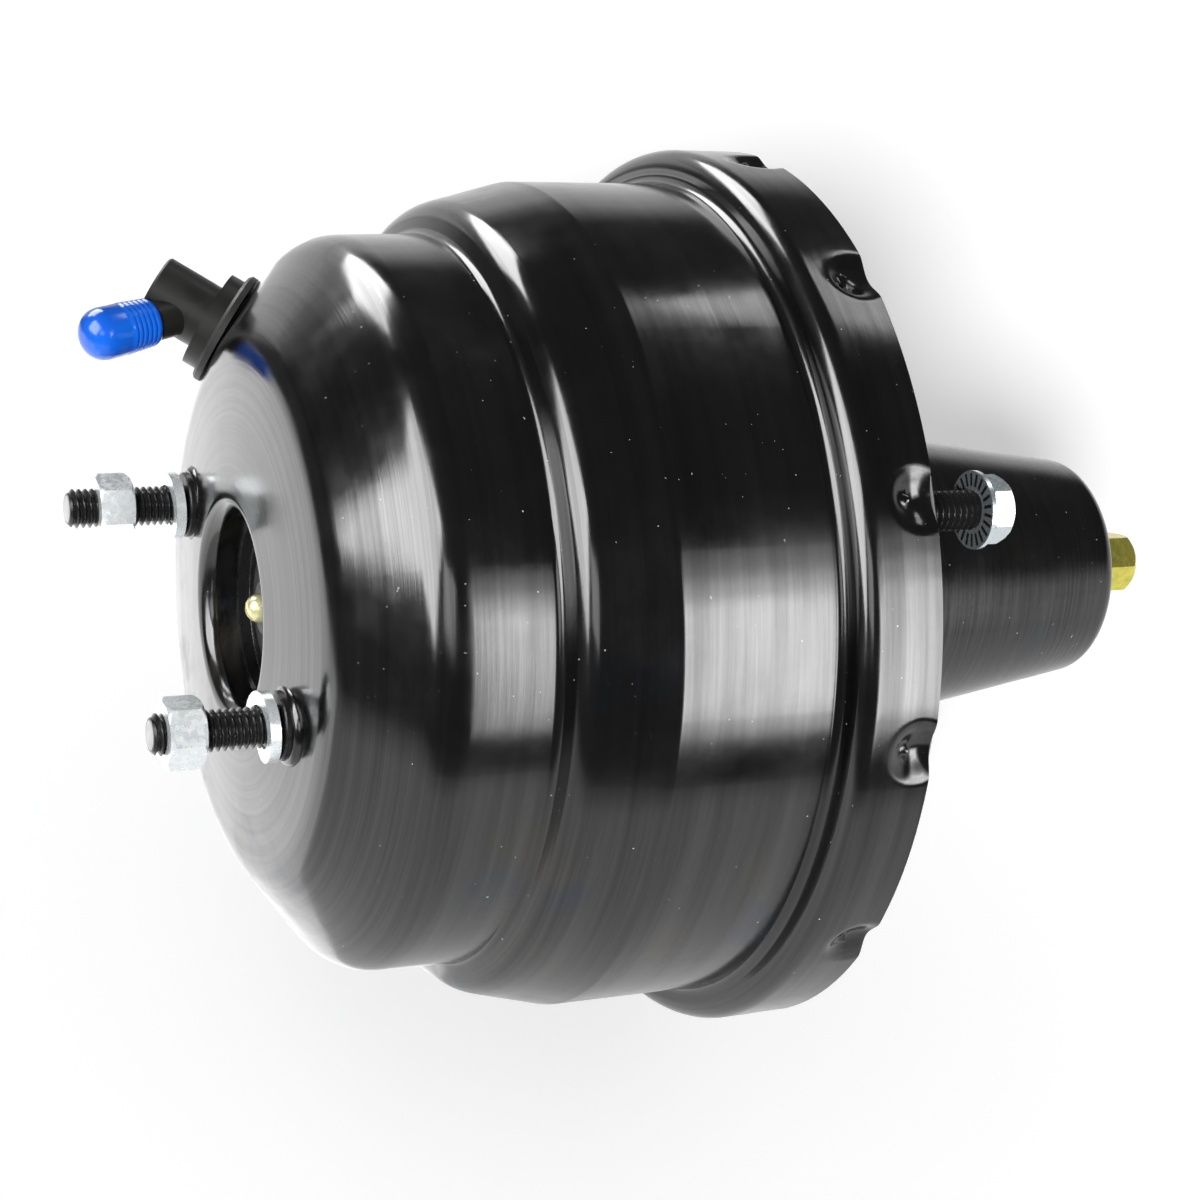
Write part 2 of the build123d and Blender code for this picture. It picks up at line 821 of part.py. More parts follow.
primary_face = primary_seat_x + plate_sheet
primary_path = [
    (primary_face - primary_rim_depth, primary_plate_radius),
    (primary_face, primary_plate_radius),
    (primary_face, hub_radius),
]
with BuildPart() as primary_plate:
    revolve(pressed(primary_path, sheet_bend, plate_sheet), axis=Axis.X)
save(primary_plate, "primary_plate")

with BuildPart() as secondary_retainer:
    revolve(
        ring(secondary_front - retainer_width, secondary_front, nose_radius, front_retainer_radius),
        axis=Axis.X,
    )
save(secondary_retainer, "secondary_retainer")

with BuildPart() as primary_retainer:
    revolve(
        ring(primary_face + rubber, primary_face + rubber + retainer_width, hub_radius,
             rear_retainer_radius),
        axis=Axis.X,
    )
save(primary_retainer, "primary_retainer")

with BuildPart() as secondary_diaphragm:
    revolve(
        outline(
            (secondary_face, nose_radius),
            (secondary_seat_x, nose_radius),
            (secondary_seat_x, secondary_bead_inner),
            (divider_x - bead_gap, secondary_bead_inner),
            (divider_x - bead_gap, secondary_bead_outer),
            (secondary_bead_front, secondary_bead_outer),
            (secondary_bead_front, secondary_bead_inner),
            (secondary_face, secondary_bead_inner),
        ),
        axis=Axis.X,
    )
save(secondary_diaphragm, "secondary_diaphragm")

roll_radius = primary_plate_radius + soft_gap
primary_bead_front = flange_x + sheet + bead_gap
primary_bead_back = lance_x - sheet - bead_gap
with BuildPart() as primary_diaphragm:
    revolve(
        outline(
            (primary_face, hub_radius),
            (primary_face, roll_radius),
            (primary_web_x, roll_radius),
            (primary_web_x, primary_bead_inner),
            (primary_bead_front, primary_bead_inner),
            (primary_bead_front, rear_edge_radius - primary_bead_edge),
            (primary_bead_front + primary_bead_edge, rear_edge_radius),
            (primary_bead_back, rear_edge_radius),
            (primary_bead_back, primary_bead_inner),
            (primary_web_x + rubber, primary_bead_inner),
            (primary_web_x + rubber, roll_radius + rubber),
            (primary_face + rubber, roll_radius + rubber),
            (primary_face + rubber, hub_radius),
        ),
        axis=Axis.X,
    )
save(primary_diaphragm, "primary_diaphragm")

# ---------------------------------------------------------------- output pushrod
reaction_radius = reaction_bore - piece_gap
disc_face = reaction_floor_x - reaction_disc_thickness
head_face = disc_face - output_head_thickness
with BuildPart() as reaction_disc:
    revolve(ring(disc_face, reaction_floor_x, 0, reaction_radius), axis=Axis.X)
save(reaction_disc, "reaction_disc")

screw_bore = screw_shank_radius + press_gap
screw_end = output_rod_x + screw_shank_length
with BuildPart() as output_pushrod:
    revolve(
        outline(
            (disc_face, 0),
            (disc_face, reaction_radius),
            (head_face, reaction_radius),
            (head_face, output_rod_radius),
            (output_rod_x, output_rod_radius),
            (output_rod_x, screw_bore),
            (screw_end + piece_gap, screw_bore),
            (screw_end + piece_gap, 0),
        ),
        axis=Axis.X,
    )
save(output_pushrod, "output_pushrod")

with BuildPart() as pushrod_clip:
    revolve(
        ring(head_face - output_clip_thickness, head_face, output_rod_radius + piece_gap,
             reaction_bore - press_gap),
        axis=Axis.X,
    )
save(pushrod_clip, "pushrod_clip")

with BuildPart() as adjusting_screw:
    with BuildSketch(Plane.YZ.offset(screw_end)):
        Circle(screw_shank_radius)
    extrude(amount=-screw_shank_length)
    with BuildSketch(Plane.YZ.offset(output_rod_x)):
        Circle(screw_head_radius)
    extrude(amount=-screw_head_length)
    fillet(adjusting_screw.edges().sort_by(Axis.X)[0], screw_dome)
    slot_floor = output_rod_x - screw_head_length + screw_slot_depth
    with BuildSketch(Plane.YZ.offset(slot_floor)):
        Rectangle(3 * screw_head_radius, screw_slot, rotation=screw_turn)
    extrude(amount=-screw_head_length, mode=Mode.SUBTRACT)
save(adjusting_screw, "adjusting_screw")

# ---------------------------------------------------------------- control valve
plunger_shoulder_x = plunger_step_x + valve_travel + piece_gap
groove_end = key_x + key_thickness + valve_travel + key_play
socket_bore = ball_radius + running_clearance
mouth_start = ball_x + sqrt(socket_bore**2 - socket_mouth_radius**2)
with BuildPart() as air_valve:
    revolve(
        outline(
            (plunger_tip_x, 0),
            (plunger_tip_x, stem_radius),
            (key_x, stem_radius),
            (key_x, stem_groove_radius),
            (groove_end, stem_groove_radius),
            (groove_end, stem_radius),
            (plunger_shoulder_x, stem_radius),
            (plunger_shoulder_x, plunger_body_radius),
            (poppet_x - air_seat_width, plunger_body_radius),
            (poppet_x - air_seat_width, air_seat_radius),
            (poppet_x, air_seat_radius),
            (poppet_x, socket_radius),
            (socket_end_x, socket_radius),
            (socket_end_x, 0),
        ),
        axis=Axis.X,
    )
    with Locations((ball_x, 0, 0)):
        Sphere(socket_bore, mode=Mode.SUBTRACT)
    with BuildSketch(Plane.YZ.offset(ball_x)):
        Circle(socket_mouth_radius)
    extrude(amount=socket_end_x - ball_x, mode=Mode.SUBTRACT)
save(air_valve, "air_valve")

with BuildPart() as poppet:
    revolve(
        outline(
            (poppet_x, poppet_hole),
            (poppet_x, poppet_radius),
            (poppet_x + poppet_face, poppet_radius),
            (poppet_x + poppet_face, poppet_sleeve_outer),
            (poppet_end_x - poppet_face, poppet_sleeve_outer),
            (poppet_end_x - poppet_face, poppet_radius),
            (poppet_end_x, poppet_radius),
            (poppet_end_x, poppet_sleeve_inner),
            (poppet_x + poppet_face, poppet_sleeve_inner),
            (poppet_x + poppet_face, poppet_hole),
        ),
        axis=Axis.X,
    )
save(poppet, "poppet")

with BuildPart() as poppet_retainer:
    revolve(
        ring(poppet_end_x, retainer_back, poppet_retainer_hole, chamber_bore - press_gap),
        axis=Axis.X,
    )
save(poppet_retainer, "poppet_retainer")

# ---------------------------------------------------------------- input pushrod
neck_end = ball_x + rod_neck_length
with BuildPart() as input_pushrod:
    with Locations((ball_x, 0, 0)):
        Sphere(ball_radius)
    revolve(
        outline(
            (ball_x, 0),
            (ball_x, rod_neck_radius),
            (neck_end, rod_neck_radius),
            (neck_end, rod_radius),
            (rod_collar_x, rod_radius),
            (rod_collar_x, rod_collar_radius),
            (rod_collar_x + rod_collar_width, rod_collar_radius),
            (rod_collar_x + rod_collar_width, rod_radius),
            (rod_end_x, rod_radius),
            (rod_end_x, 0),
        ),
        axis=Axis.X,
    )
save(input_pushrod, "input_pushrod")

with BuildPart() as rod_spring_plate:
    revolve(
        ring(plate_front, rod_collar_x, rod_radius + press_gap, spring_plate_radius), axis=Axis.X
    )
save(rod_spring_plate, "rod_spring_plate")

with BuildPart() as hex_coupling:
    with Locations(Plane.YZ.offset(hex_x)):
        add(hex_bar(hex_width, hex_end_x - hex_x, hex_turn, hex_chamfer, hex_chamfer))
        Cylinder(rod_radius + press_gap, rod_end_x + piece_gap - hex_x, align=stack_up,
                 mode=Mode.SUBTRACT)
    with Locations(Plane.YZ.offset(hex_end_x)):
        Cylinder(input_thread_radius, input_thread_depth, align=stack_down, mode=Mode.SUBTRACT)
save(hex_coupling, "hex_coupling")

# ---------------------------------------------------------------- filter in the tail
filter_radius = tail_bore - filter_fit
for name, start, end, hole in (
    ("air_filter", filter_x, felt_x, filter_hole),
    ("silencer_felt", felt_x, clip_x, filter_hole),
    ("filter_clip", clip_x, clip_x + filter_clip_width, filter_clip_hole),
):
    with BuildPart() as tail_ring:
        revolve(ring(start, end, hole, filter_radius), axis=Axis.X)
    save(tail_ring, name)

# ---------------------------------------------------------------- guide and seal in the neck
neck_slope = (neck_root_radius - neck_end_radius) / neck_end_x


def neck_inner_radius(x):
    """The inside radius of the tapered neck."""
    return neck_outer_radius(x) - sheet * sqrt(1 + neck_slope**2) - press_gap


tail_clearance = tail_radius + running_clearance
seal_x = guide_x + guide_length
seal_end = seal_x + seal_length
groove_inner_radius = tail_clearance + seal_groove_width
with BuildPart() as neck_guide:
    revolve(
        outline(
            (guide_x, tail_clearance),
            (seal_x, tail_clearance),
            (seal_x, neck_inner_radius(seal_x)),
            (guide_x, neck_inner_radius(guide_x)),
        ),
        axis=Axis.X,
    )
save(neck_guide, "neck_guide")

with BuildPart() as neck_seal:
    revolve(
        outline(
            (seal_x, tail_clearance),
            (seal_end, tail_clearance),
            (seal_end, groove_inner_radius),
            (seal_x + seal_groove_start, groove_inner_radius),
            (seal_x + seal_groove_start, groove_inner_radius + seal_groove_width),
            (seal_end, groove_inner_radius + seal_groove_width),
            (seal_end, neck_inner_radius(seal_end)),
            (seal_x, neck_inner_radius(seal_x)),
        ),
        axis=Axis.X,
    )
save(neck_seal, "neck_seal")

# ---------------------------------------------------------------- check valve
def on_valve(*points):
    """A section of (distance from the valve's axis, height) points."""
    with BuildSketch(Plane.XZ) as profile:
        with BuildLine():
            Polyline(*points, close=True)
        make_face()
    return profile.sketch


def seat(node, name, plane=valve_plane):
    """Move a piece made about Z to its place on the shell, and write it."""
    node.part = plane.location * node.part
    save(node, name)


swing = radians(nozzle_swing)
tilt = radians(nozzle_tilt)
nozzle_plane = Plane(
    origin=(0, 0, nozzle_height),
    x_dir=(sin(swing), -cos(swing), 0),
    z_dir=(-cos(tilt) * cos(swing), -cos(tilt) * sin(swing), sin(tilt)),
)

with BuildPart() as check_valve_grommet:
    revolve(
        on_valve(
            (valve_stem_radius + running_clearance, -grommet_tail),
            (grommet_tail_radius, -grommet_tail),
            (grommet_inner_radius, -grommet_inner_edge),
            (grommet_inner_radius, -grommet_inner_drop),
            (grommet_neck_radius, -grommet_inner_drop),
            (grommet_neck_radius, grommet_seat_gap),
            (grommet_radius, grommet_seat_gap),
            (grommet_radius, grommet_edge),
            (grommet_radius - grommet_top + grommet_edge, grommet_top),
            (valve_stem_radius + running_clearance, grommet_top),
        ),
        axis=Axis.Z,
    )
seat(check_valve_grommet, "check_valve_grommet")

with BuildPart() as check_valve_body:
    with Locations((0, 0, -valve_stem_end)):
        Cylinder(valve_stem_radius, valve_stem_end + grommet_top, align=stack_up)
        Cone(valve_stem_radius, valve_barb_radius, valve_stem_drop - piece_gap,
             align=stack_up)
    with Locations((0, 0, grommet_top)):
        Cylinder(valve_disc_radius, valve_disc_top - grommet_top, align=stack_up)
    with Locations((0, 0, valve_disc_top)):
        Cylinder(barrel_radius, barrel_top - valve_disc_top, align=stack_up)
    chamfer(check_valve_body.edges().sort_by(Axis.Z)[-1], barrel_edge)
    with Locations(nozzle_plane):
        Cylinder(nozzle_radius, nozzle_length, align=stack_up)
        Cylinder(nozzle_bore, nozzle_length, align=stack_up, mode=Mode.SUBTRACT)
    with Locations((0, 0, -valve_stem_end)):
        Cylinder(valve_stem_bore, valve_stem_end + barrel_floor_height, align=stack_up,
                 mode=Mode.SUBTRACT)
    with Locations((0, 0, barrel_floor_height)):
        Cylinder(barrel_bore, barrel_top - barrel_end - barrel_floor_height, align=stack_up,
                 mode=Mode.SUBTRACT)
seat(check_valve_body, "check_valve_body")

disc_top = barrel_floor_height + check_disc_thickness
with BuildPart() as check_valve_disc:
    with Locations((0, 0, barrel_floor_height)):
        Cylinder(check_disc_radius, check_disc_thickness, align=stack_up)
seat(check_valve_disc, "check_valve_disc")

# The vinyl cap on the nozzle, in the nozzle's own frame with its mouth at Z = cap_start
with BuildPart() as nozzle_cap:
    with Locations((0, 0, cap_start)):
        Cone(cap_mouth_radius, cap_end_radius, cap_taper_length, align=stack_up)
    with Locations((0, 0, cap_start + cap_taper_length)):
        Cylinder(cap_end_radius, cap_length - cap_taper_length, align=stack_up)
    fillet(nozzle_cap.edges().sort_by(Axis.Z)[-1], cap_dome)
    with Locations((0, 0, cap_start)):
        Cylinder(nozzle_radius + cap_clearance, cap_bore_depth, align=stack_up, mode=Mode.SUBTRACT)
seat(nozzle_cap, "nozzle_cap", Plane(valve_plane.location * nozzle_plane.location))

# ---------------------------------------------------------------- springs
spring_seat = secondary_front - retainer_width
face_slope = face_rise / (face_edge_radius - pilot_radius)
return_start = lip_x + sheet + face_slope * (return_coil + return_wire - pilot_radius)
return_spring = coil(return_wire, return_coil, return_turns, return_start, spring_seat)
save(return_spring, "return_spring")

rod_spring = coil(rod_spring_wire, rod_spring_coil, rod_spring_turns, retainer_back, plate_front)
save(rod_spring, "rod_spring")

poppet_back = poppet_x + poppet_face
poppet_spring = coil(
    poppet_spring_wire, poppet_spring_coil, poppet_spring_turns, poppet_back, poppet_end_x
)
save(poppet_spring, "poppet_spring")

with BuildPart() as check_valve_spring:
    spring_bottom = disc_top + check_spring_wire + spring_gap
    spring_height = barrel_top - barrel_end - check_spring_wire - spring_gap - spring_bottom
    with BuildLine(Plane.XY.offset(spring_bottom)):
        check_path = Helix(
            pitch=spring_height / check_spring_turns, height=spring_height,
            radius=check_spring_coil,
        )
    with BuildSketch(Plane(origin=check_path @ 0, z_dir=check_path % 0)):
        Circle(check_spring_wire)
    sweep(path=check_path, is_frenet=True)
seat(check_valve_spring, "check_valve_spring")
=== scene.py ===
import json
import math

import bmesh
import bpy
from mathutils import Matrix, Vector


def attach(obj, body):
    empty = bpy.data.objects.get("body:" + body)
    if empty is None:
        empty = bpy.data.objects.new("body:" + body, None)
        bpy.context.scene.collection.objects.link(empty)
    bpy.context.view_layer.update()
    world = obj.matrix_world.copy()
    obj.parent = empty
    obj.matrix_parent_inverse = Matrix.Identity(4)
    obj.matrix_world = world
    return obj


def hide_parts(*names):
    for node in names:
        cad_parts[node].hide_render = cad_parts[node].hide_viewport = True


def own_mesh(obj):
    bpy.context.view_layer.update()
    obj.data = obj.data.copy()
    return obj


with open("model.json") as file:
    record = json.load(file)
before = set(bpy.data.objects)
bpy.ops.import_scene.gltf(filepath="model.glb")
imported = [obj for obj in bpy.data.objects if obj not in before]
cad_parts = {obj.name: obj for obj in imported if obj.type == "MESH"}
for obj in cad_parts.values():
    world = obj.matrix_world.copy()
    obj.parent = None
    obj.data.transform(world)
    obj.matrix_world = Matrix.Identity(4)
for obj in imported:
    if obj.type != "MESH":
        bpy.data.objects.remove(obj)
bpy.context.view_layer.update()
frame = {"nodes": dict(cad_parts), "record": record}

nodes = frame["nodes"]
MM = 0.001

# ------------------------------------------------------------------ sizes, in millimetres
# They follow the solids: X runs along the booster's axis, radii are taken from it, and a
# corner is (x, radius). Angles are written in degrees. POLE is the radius of a closed end's
# innermost ring, ROUND the number of points round a stud, and WELD is in metres.
SHEET = 1.6
POLE = 0.01
ROUND = 48
WELD = 1e-7

# Front shell: the corners of its outer face, from inside the pilot to the rim's rear edge
PILOT_RADIUS = 23.2
LIP_X = -137.9
FACE_EDGE = (-134.2, 62.5)
SHOULDER = (-116.0, 86.7)
RIM_RADIUS = 107.6
RIM_FRONT_X = -29.4
SHELL_PATH = [
    (-124.8, PILOT_RADIUS), (LIP_X, PILOT_RADIUS), FACE_EDGE, SHOULDER,
    (-90.7, 87.0), (-88.0, 94.2), (-68.0, 99.4),
    (RIM_FRONT_X, 99.4), (RIM_FRONT_X, RIM_RADIUS), (-9.9, 107.4),
]
SHELL_BENDS = [3.8, 17.0, 12.0, 2.2, 7.0, 3.0, 2.2, 4.6]

# Tabs pressed into the rim: round dents, each with a slit across its front part. The flap
# in front of the slit is lifted, and the rows of points along the rim are close together there.
LANCE_COUNT = 12
LANCE_PITCH = 2 * math.pi / LANCE_COUNT
LANCE_START = 13.7
LANCE_MIDDLE_X = -13.6
LANCE_RADIUS = 8.2
LANCE_DEPTH = 3.0
LANCE_FALL = 2.1
LANCE_SPREAD = 4.6
SLIT_HALF = 1.9
SLIT_X = -16.0
SLIT_FADE = 1.5
FLAP_X = -18.6
FLAP_LENGTH = 2.4
FLAP_LIFT = 0.75
RIM_ROWS = [
    -24.0, -23.0, -21.5, -20.7, -19.9, -19.2, -18.4, -17.6, -16.9, -16.4, -16.06, -15.98,
    -15.3, -14.6, -13.7, -12.7, -11.8, -10.9, -10.3, -9.9,
]
SLIT_ROW = -16.06
TAB_FRONT_X = -26.0
TAB_INNER_RADIUS = 101.0
FINE_STEPS = 12
COARSE_STEPS = 10

# Rear shell and neck
REAR_PATH = [
    (-15.8, 105.46), (-15.8, 97.6), (0.0, 97.6), (0.0, 41.9), (91.6, 27.6), (91.6, 19.5),
]
REAR_BENDS = [2.2, 9.0, 5.0, 5.0]
REAR_SEGMENTS = 256
REAR_LONGEST_STEP = 12

# Studs: 3/8 inch, 16 threads to the inch
STUD_RADIUS = 4.7625
THREAD_PITCH = 1.5875
THREAD_DEPTH = 0.95
THREAD_FLANK = (2.6, -0.2)
THREAD_ROWS = 12
THREAD_TIP_CHAMFER = 1.1
STUD_HEAD_RADIUS = 9.4
STUD_HEAD_HEIGHT = 2.2
STUD_HEAD_CHAMFER = 0.4
STUD_NECK_RADIUS = 4.9
STUD_FILLET = 0.3
COLLAR_CHAMFER = 0.35
COLLAR_FOOT = 0.2
THREAD_RUNOUT = 1.2
STUD_END_ROWS = [(-0.1, 3.25), (0.06, 3.25), (0.12, 3.0)]
FRONT_SEAT_X = -136.9
FRONT_STUD_LENGTH = 29.7
FRONT_PLAIN_LENGTH = 2.9
FRONT_COLLAR_RADIUS = 7.9
FRONT_COLLAR_HEIGHT = 1.3
REAR_STUD_LENGTH = 31.5
REAR_PLAIN_LENGTH = 2.0
PAD_RADIUS = 8.6
PAD_THICKNESS = 3.4
PAD_HOLE_RADIUS = 6.0
PAD_ROWS = [
    (-PAD_THICKNESS, PAD_HOLE_RADIUS), (-PAD_THICKNESS, PAD_RADIUS + 1.0),
    (-1.6, PAD_RADIUS + 0.9), (-0.7, PAD_RADIUS + 0.5), (-0.2, PAD_RADIUS),
    (0.0, PAD_RADIUS - 0.7), (0.0, PAD_HOLE_RADIUS),
]
STUD_SPACING = 85.725
FIREWALL_SPACING = 101.6
half = STUD_SPACING / 2
rise = FIREWALL_SPACING / 2
front_spots = [(FRONT_SEAT_X, half, 0), (FRONT_SEAT_X, -half, 0)]
rear_spots = [(0, y, z) for y in (-half, half) for z in (-rise, rise)]

# Teeth under the flange nuts
TOOTH_RING_RADIUS = 7.2
TOOTH_SIZE = (3.0, 0.75, 0.16)
TOOTH_COUNT = 22
TOOTH_X = 24.96

# Springs
COIL_STEPS = 40
WIRE_SIDES = 14

# Diaphragms, each split where it rolls: an edge clamped in the housing and a disc that
# rides on the piston, as closed (x, radius) outlines
DIAPHRAGM_SEGMENTS = 192
SECONDARY_EDGE = [
    (-88.4, 67.9), (-86.4, 67.9), (-86.4, 87.0), (-84.4, 87.0), (-84.4, 90.4), (-84.9, 90.9),
    (-86.8, 90.9), (-87.3, 90.4), (-87.3, 87.0), (-88.4, 87.0),
]
SECONDARY_DISC = [(-88.4, 20.0), (-86.4, 20.0), (-86.4, 67.6), (-88.4, 67.6)]
PRIMARY_EDGE = [
    (-21.5, 90.7), (-21.5, 99.8), (-27.6, 99.8), (-27.6, 102.8), (-25.1, 105.3),
    (-17.6, 105.3), (-17.6, 99.8), (-19.5, 99.8), (-19.5, 90.7),
]
PRIMARY_DISC = [
    (-12.0, 24.0), (-12.0, 88.3), (-21.5, 88.3), (-21.5, 90.3), (-10.6, 90.3), (-10.0, 89.7),
    (-10.0, 24.0),
]

# Check valve: its seat halfway up the cone, its nozzle and the nozzle's cap
VALVE_ANGLE = math.radians(28.5)
NOZZLE_TILT = math.radians(34.0)
NOZZLE_SWING = math.radians(10.0)
NOZZLE_HEIGHT = 9.5
CAP_START = 13.0
CAP_END = 32.0
CAP_BORE = 4.96
CAP_BORE_END = 24.0
CAP_MOUTH_RADIUS = 5.5
CAP_RIDGE_COUNT = 6
CAP_RIDGE_PITCH = 1.35
CAP_RIDGE_START = 0.5
CAP_RIDGE_TOP = (0.5, 0.9)
CAP_RIDGE_END = 1.2
CAP_RIDGE_HEIGHT = 0.16
CAP_GROOVE_DEPTH = 0.04
CAP_ROOT_RADIUS = 5.78
CAP_TAPER = 0.062
CAP_TAPER_END = (22.5, 6.4)
CAP_RADIUS = 6.45
CAP_DOME = 5.6
CAP_DOME_STEPS = 12
CAP_SEGMENTS = 64


# ------------------------------------------------------------------ outlines
def rounded(points, bends, step=6.0):
    """The points of a line with its corners rounded, each arc cut into steps of some degrees."""
    line = [Vector(points[0])]
    for before, corner, after, bend in zip(points, points[1:], points[2:], bends):
        corner = Vector(corner)
        back = (Vector(before) - corner).normalized()
        ahead = (Vector(after) - corner).normalized()
        half_angle = back.angle(ahead) / 2
        reach = bend / math.tan(half_angle)
        centre = corner + (back + ahead).normalized() * bend / math.sin(half_angle)
        start = corner + back * reach - centre
        turn = math.pi - 2 * half_angle
        if back.x * ahead.y - back.y * ahead.x > 0:
            turn = -turn
        count = max(2, round(abs(math.degrees(turn)) / step))
        for i in range(count + 1):
            a = turn * i / count
            line.append(centre + Vector((start.x * math.cos(a) - start.y * math.sin(a),
                                         start.x * math.sin(a) + start.y * math.cos(a))))
    line.append(Vector(points[-1]))
    return line


def beside(line, distance):
    """A line at a distance to the right of another one."""
    moved = []
    for i, p in enumerate(line):
        way = (line[min(i + 1, len(line) - 1)] - line[max(i - 1, 0)]).normalized()
        moved.append(p + Vector((way.y, -way.x)) * distance)
    return moved


def filled(line, longest):
    """A line with points added where two lie further apart than the longest step."""
    out = [line[0]]
    for a, b in zip(line, line[1:]):
        count = max(1, math.ceil((b - a).length / longest))
        out += [a.lerp(b, i / count) for i in range(1, count + 1)]
    return out


def even_angles(count):
    """Angles evenly spread over a full turn."""
    return [2 * math.pi * j / count for j in range(count)]


# ------------------------------------------------------------------ meshes
def mesh_of(name, points, faces):
    """A mesh from points in millimetres."""
    mesh = bpy.data.meshes.new(name)
    mesh.from_pydata([tuple(c * MM for c in p) for p in points], [], faces)
    mesh.polygons.foreach_set("use_smooth", [True] * len(mesh.polygons))
    bm = bmesh.new()
    bm.from_mesh(mesh)
    bmesh.ops.remove_doubles(bm, verts=bm.verts, dist=WELD)
    bmesh.ops.recalc_face_normals(bm, faces=bm.faces)
    bm.to_mesh(mesh)
    bm.free()
    return mesh


def turned(line, angles, shift=None, skip=None):
    """Points and faces of a closed outline turned about X; shift moves single points."""
    points, faces = [], []
    count, around = len(line), len(angles)
    for p in line:
        for a in angles:
            x, r = (p.x, p.y) if shift is None else shift(p, a)
            points.append((x, r * math.cos(a), r * math.sin(a)))
    for i in range(count):
        for j in range(around):
            if skip and skip(i, j):
                continue
            k, m = (i + 1) % count, (j + 1) % around
            faces.append((i * around + j, i * around + m, k * around + m, k * around + j))
    return points, faces


def add_rings(bm, rows):
    """Rings of points about X at (x, radius) rows, with the faces between them."""
    rings = [[bm.verts.new((x * MM, r * MM * math.cos(a), r * MM * math.sin(a)))
              for a in even_angles(ROUND)] for x, r in rows]
    for low, high in zip(rings, rings[1:]):
        for j in range(ROUND):
            m = (j + 1) % ROUND
            bm.faces.new((low[j], low[m], high[m], high[j]))
    return rings


def smoothed(bm):
    """The same mesh with its faces turned outwards and shaded smooth."""
    bmesh.ops.recalc_face_normals(bm, faces=bm.faces)
    for face in bm.faces:
        face.smooth = True
    return bm


def along_x(origin, direction):
    """The place of a piece made along X that stands on a point and points elsewhere."""
    return Matrix.Translation(origin * MM) @ direction.to_track_quat("X", "Z").to_matrix().to_4x4()


def linked(name, data):
    """A new object in the scene."""
    obj = bpy.data.objects.new(name, data)
    bpy.context.scene.collection.objects.link(obj)
    return obj


# ------------------------------------------------------------------ node trees
NOISE_SPAN = (0.3, 0.7)


class Nodes:
    """A node tree with short ways to add to it."""

    def __init__(self, tree):
        self.tree = tree

    def link(self, output, socket):
        self.tree.links.new(output, socket)

    def feed(self, socket, value):
        """Gives a socket a plain value or another node's output."""
        if isinstance(value, bpy.types.NodeSocket):
            self.link(value, socket)
        else:
            socket.default_value = value

    def add(self, kind, inputs=None, **settings):
        """A new node with its settings, and with the inputs that are named fed."""
        node = self.tree.nodes.new(kind)
        for key, value in settings.items():
            setattr(node, key, value)
        for key, value in (inputs or {}).items():
            self.feed(node.inputs[key], value)
        return node

    def math(self, operation, *values):
        node = self.add("ShaderNodeMath", dict(enumerate(values)), operation=operation)
        return node.outputs[0]

    def ramp(self, value, low, high, dark=0.0, light=1.0):
        """A value's way from low to high as a share between two others."""
        node = self.add("ShaderNodeMapRange", {
            "Value": value, "From Min": low, "From Max": high, "To Min": dark, "To Max": light})
        return node.outputs["Result"]

    def split(self, vector):
        return self.add("ShaderNodeSeparateXYZ", {0: vector}).outputs

    def join(self, **parts):
        return self.add("ShaderNodeCombineXYZ", parts).outputs[0]

    def length(self, vector):
        node = self.add("ShaderNodeVectorMath", {0: vector}, operation="LENGTH")
        return node.outputs["Value"]

    def along(self, vector, direction):
        """How far a vector reaches in a direction."""
        node = self.add("ShaderNodeVectorMath", {0: vector, 1: direction},
                        operation="DOT_PRODUCT")
        return node.outputs["Value"]


class Finish(Nodes):
    """A node material with a Principled shader."""

    def __init__(self, name, color, metallic=0.0, roughness=0.5, **sockets):
        self.material = bpy.data.materials.new(name)
        self.material.use_nodes = True
        super().__init__(self.material.node_tree)
        self.shader = self.tree.nodes["Principled BSDF"]
        self.place = self.add("ShaderNodeTexCoord").outputs["Object"]
        self.shader.inputs["Base Color"].default_value = (*color, 1)
        self.shader.inputs["Metallic"].default_value = metallic
        self.shader.inputs["Roughness"].default_value = roughness
        for socket, value in sockets.items():
            self.shader.inputs[socket.replace("_", " ")].default_value = value

    def stretched(self, scale):
        node = self.add("ShaderNodeMapping", {"Scale": scale, "Vector": self.place})
        return node.outputs["Vector"]

    def noise(self, scale, detail=3.0, roughness=0.55, vector=None, distortion=0.0):
        node = self.add("ShaderNodeTexNoise", {
            "Scale": scale, "Detail": detail, "Roughness": roughness,
            "Distortion": distortion, "Vector": vector or self.place})
        return node.outputs["Fac"]

    def mix(self, share, color_a, color_b):
        node = self.add("ShaderNodeMix", data_type="RGBA")
        self.link(share, node.inputs["Factor"])
        for label, value in (("A", color_a), ("B", color_b)):
            socket = [s for s in node.inputs if s.name == label and s.type == "RGBA"][0]
            self.feed(socket, (*value, 1) if isinstance(value, tuple) else value)
        return [s for s in node.outputs if s.type == "RGBA"][0]

    def color(self, output):
        self.link(output, self.shader.inputs["Base Color"])

    def roughness(self, output):
        self.link(output, self.shader.inputs["Roughness"])

    def worn(self, scale, detail, smoothest, roughest):
        """Roughness that wanders between two values with a noise."""
        noise = self.noise(scale, detail)
        self.roughness(self.ramp(noise, *NOISE_SPAN, smoothest, roughest))

    def bump(self, height, distance, strength=1.0):
        node = self.add("ShaderNodeBump", {
            "Strength": strength, "Distance": distance, "Height": height})
        if self.shader.inputs["Normal"].is_linked:
            self.link(self.shader.inputs["Normal"].links[0].from_socket, node.inputs["Normal"])
        self.link(node.outputs["Normal"], self.shader.inputs["Normal"])

    def on(self, obj):
        """Makes this the only material of an object."""
        obj.data.materials.clear()
        obj.data.materials.append(self.material)


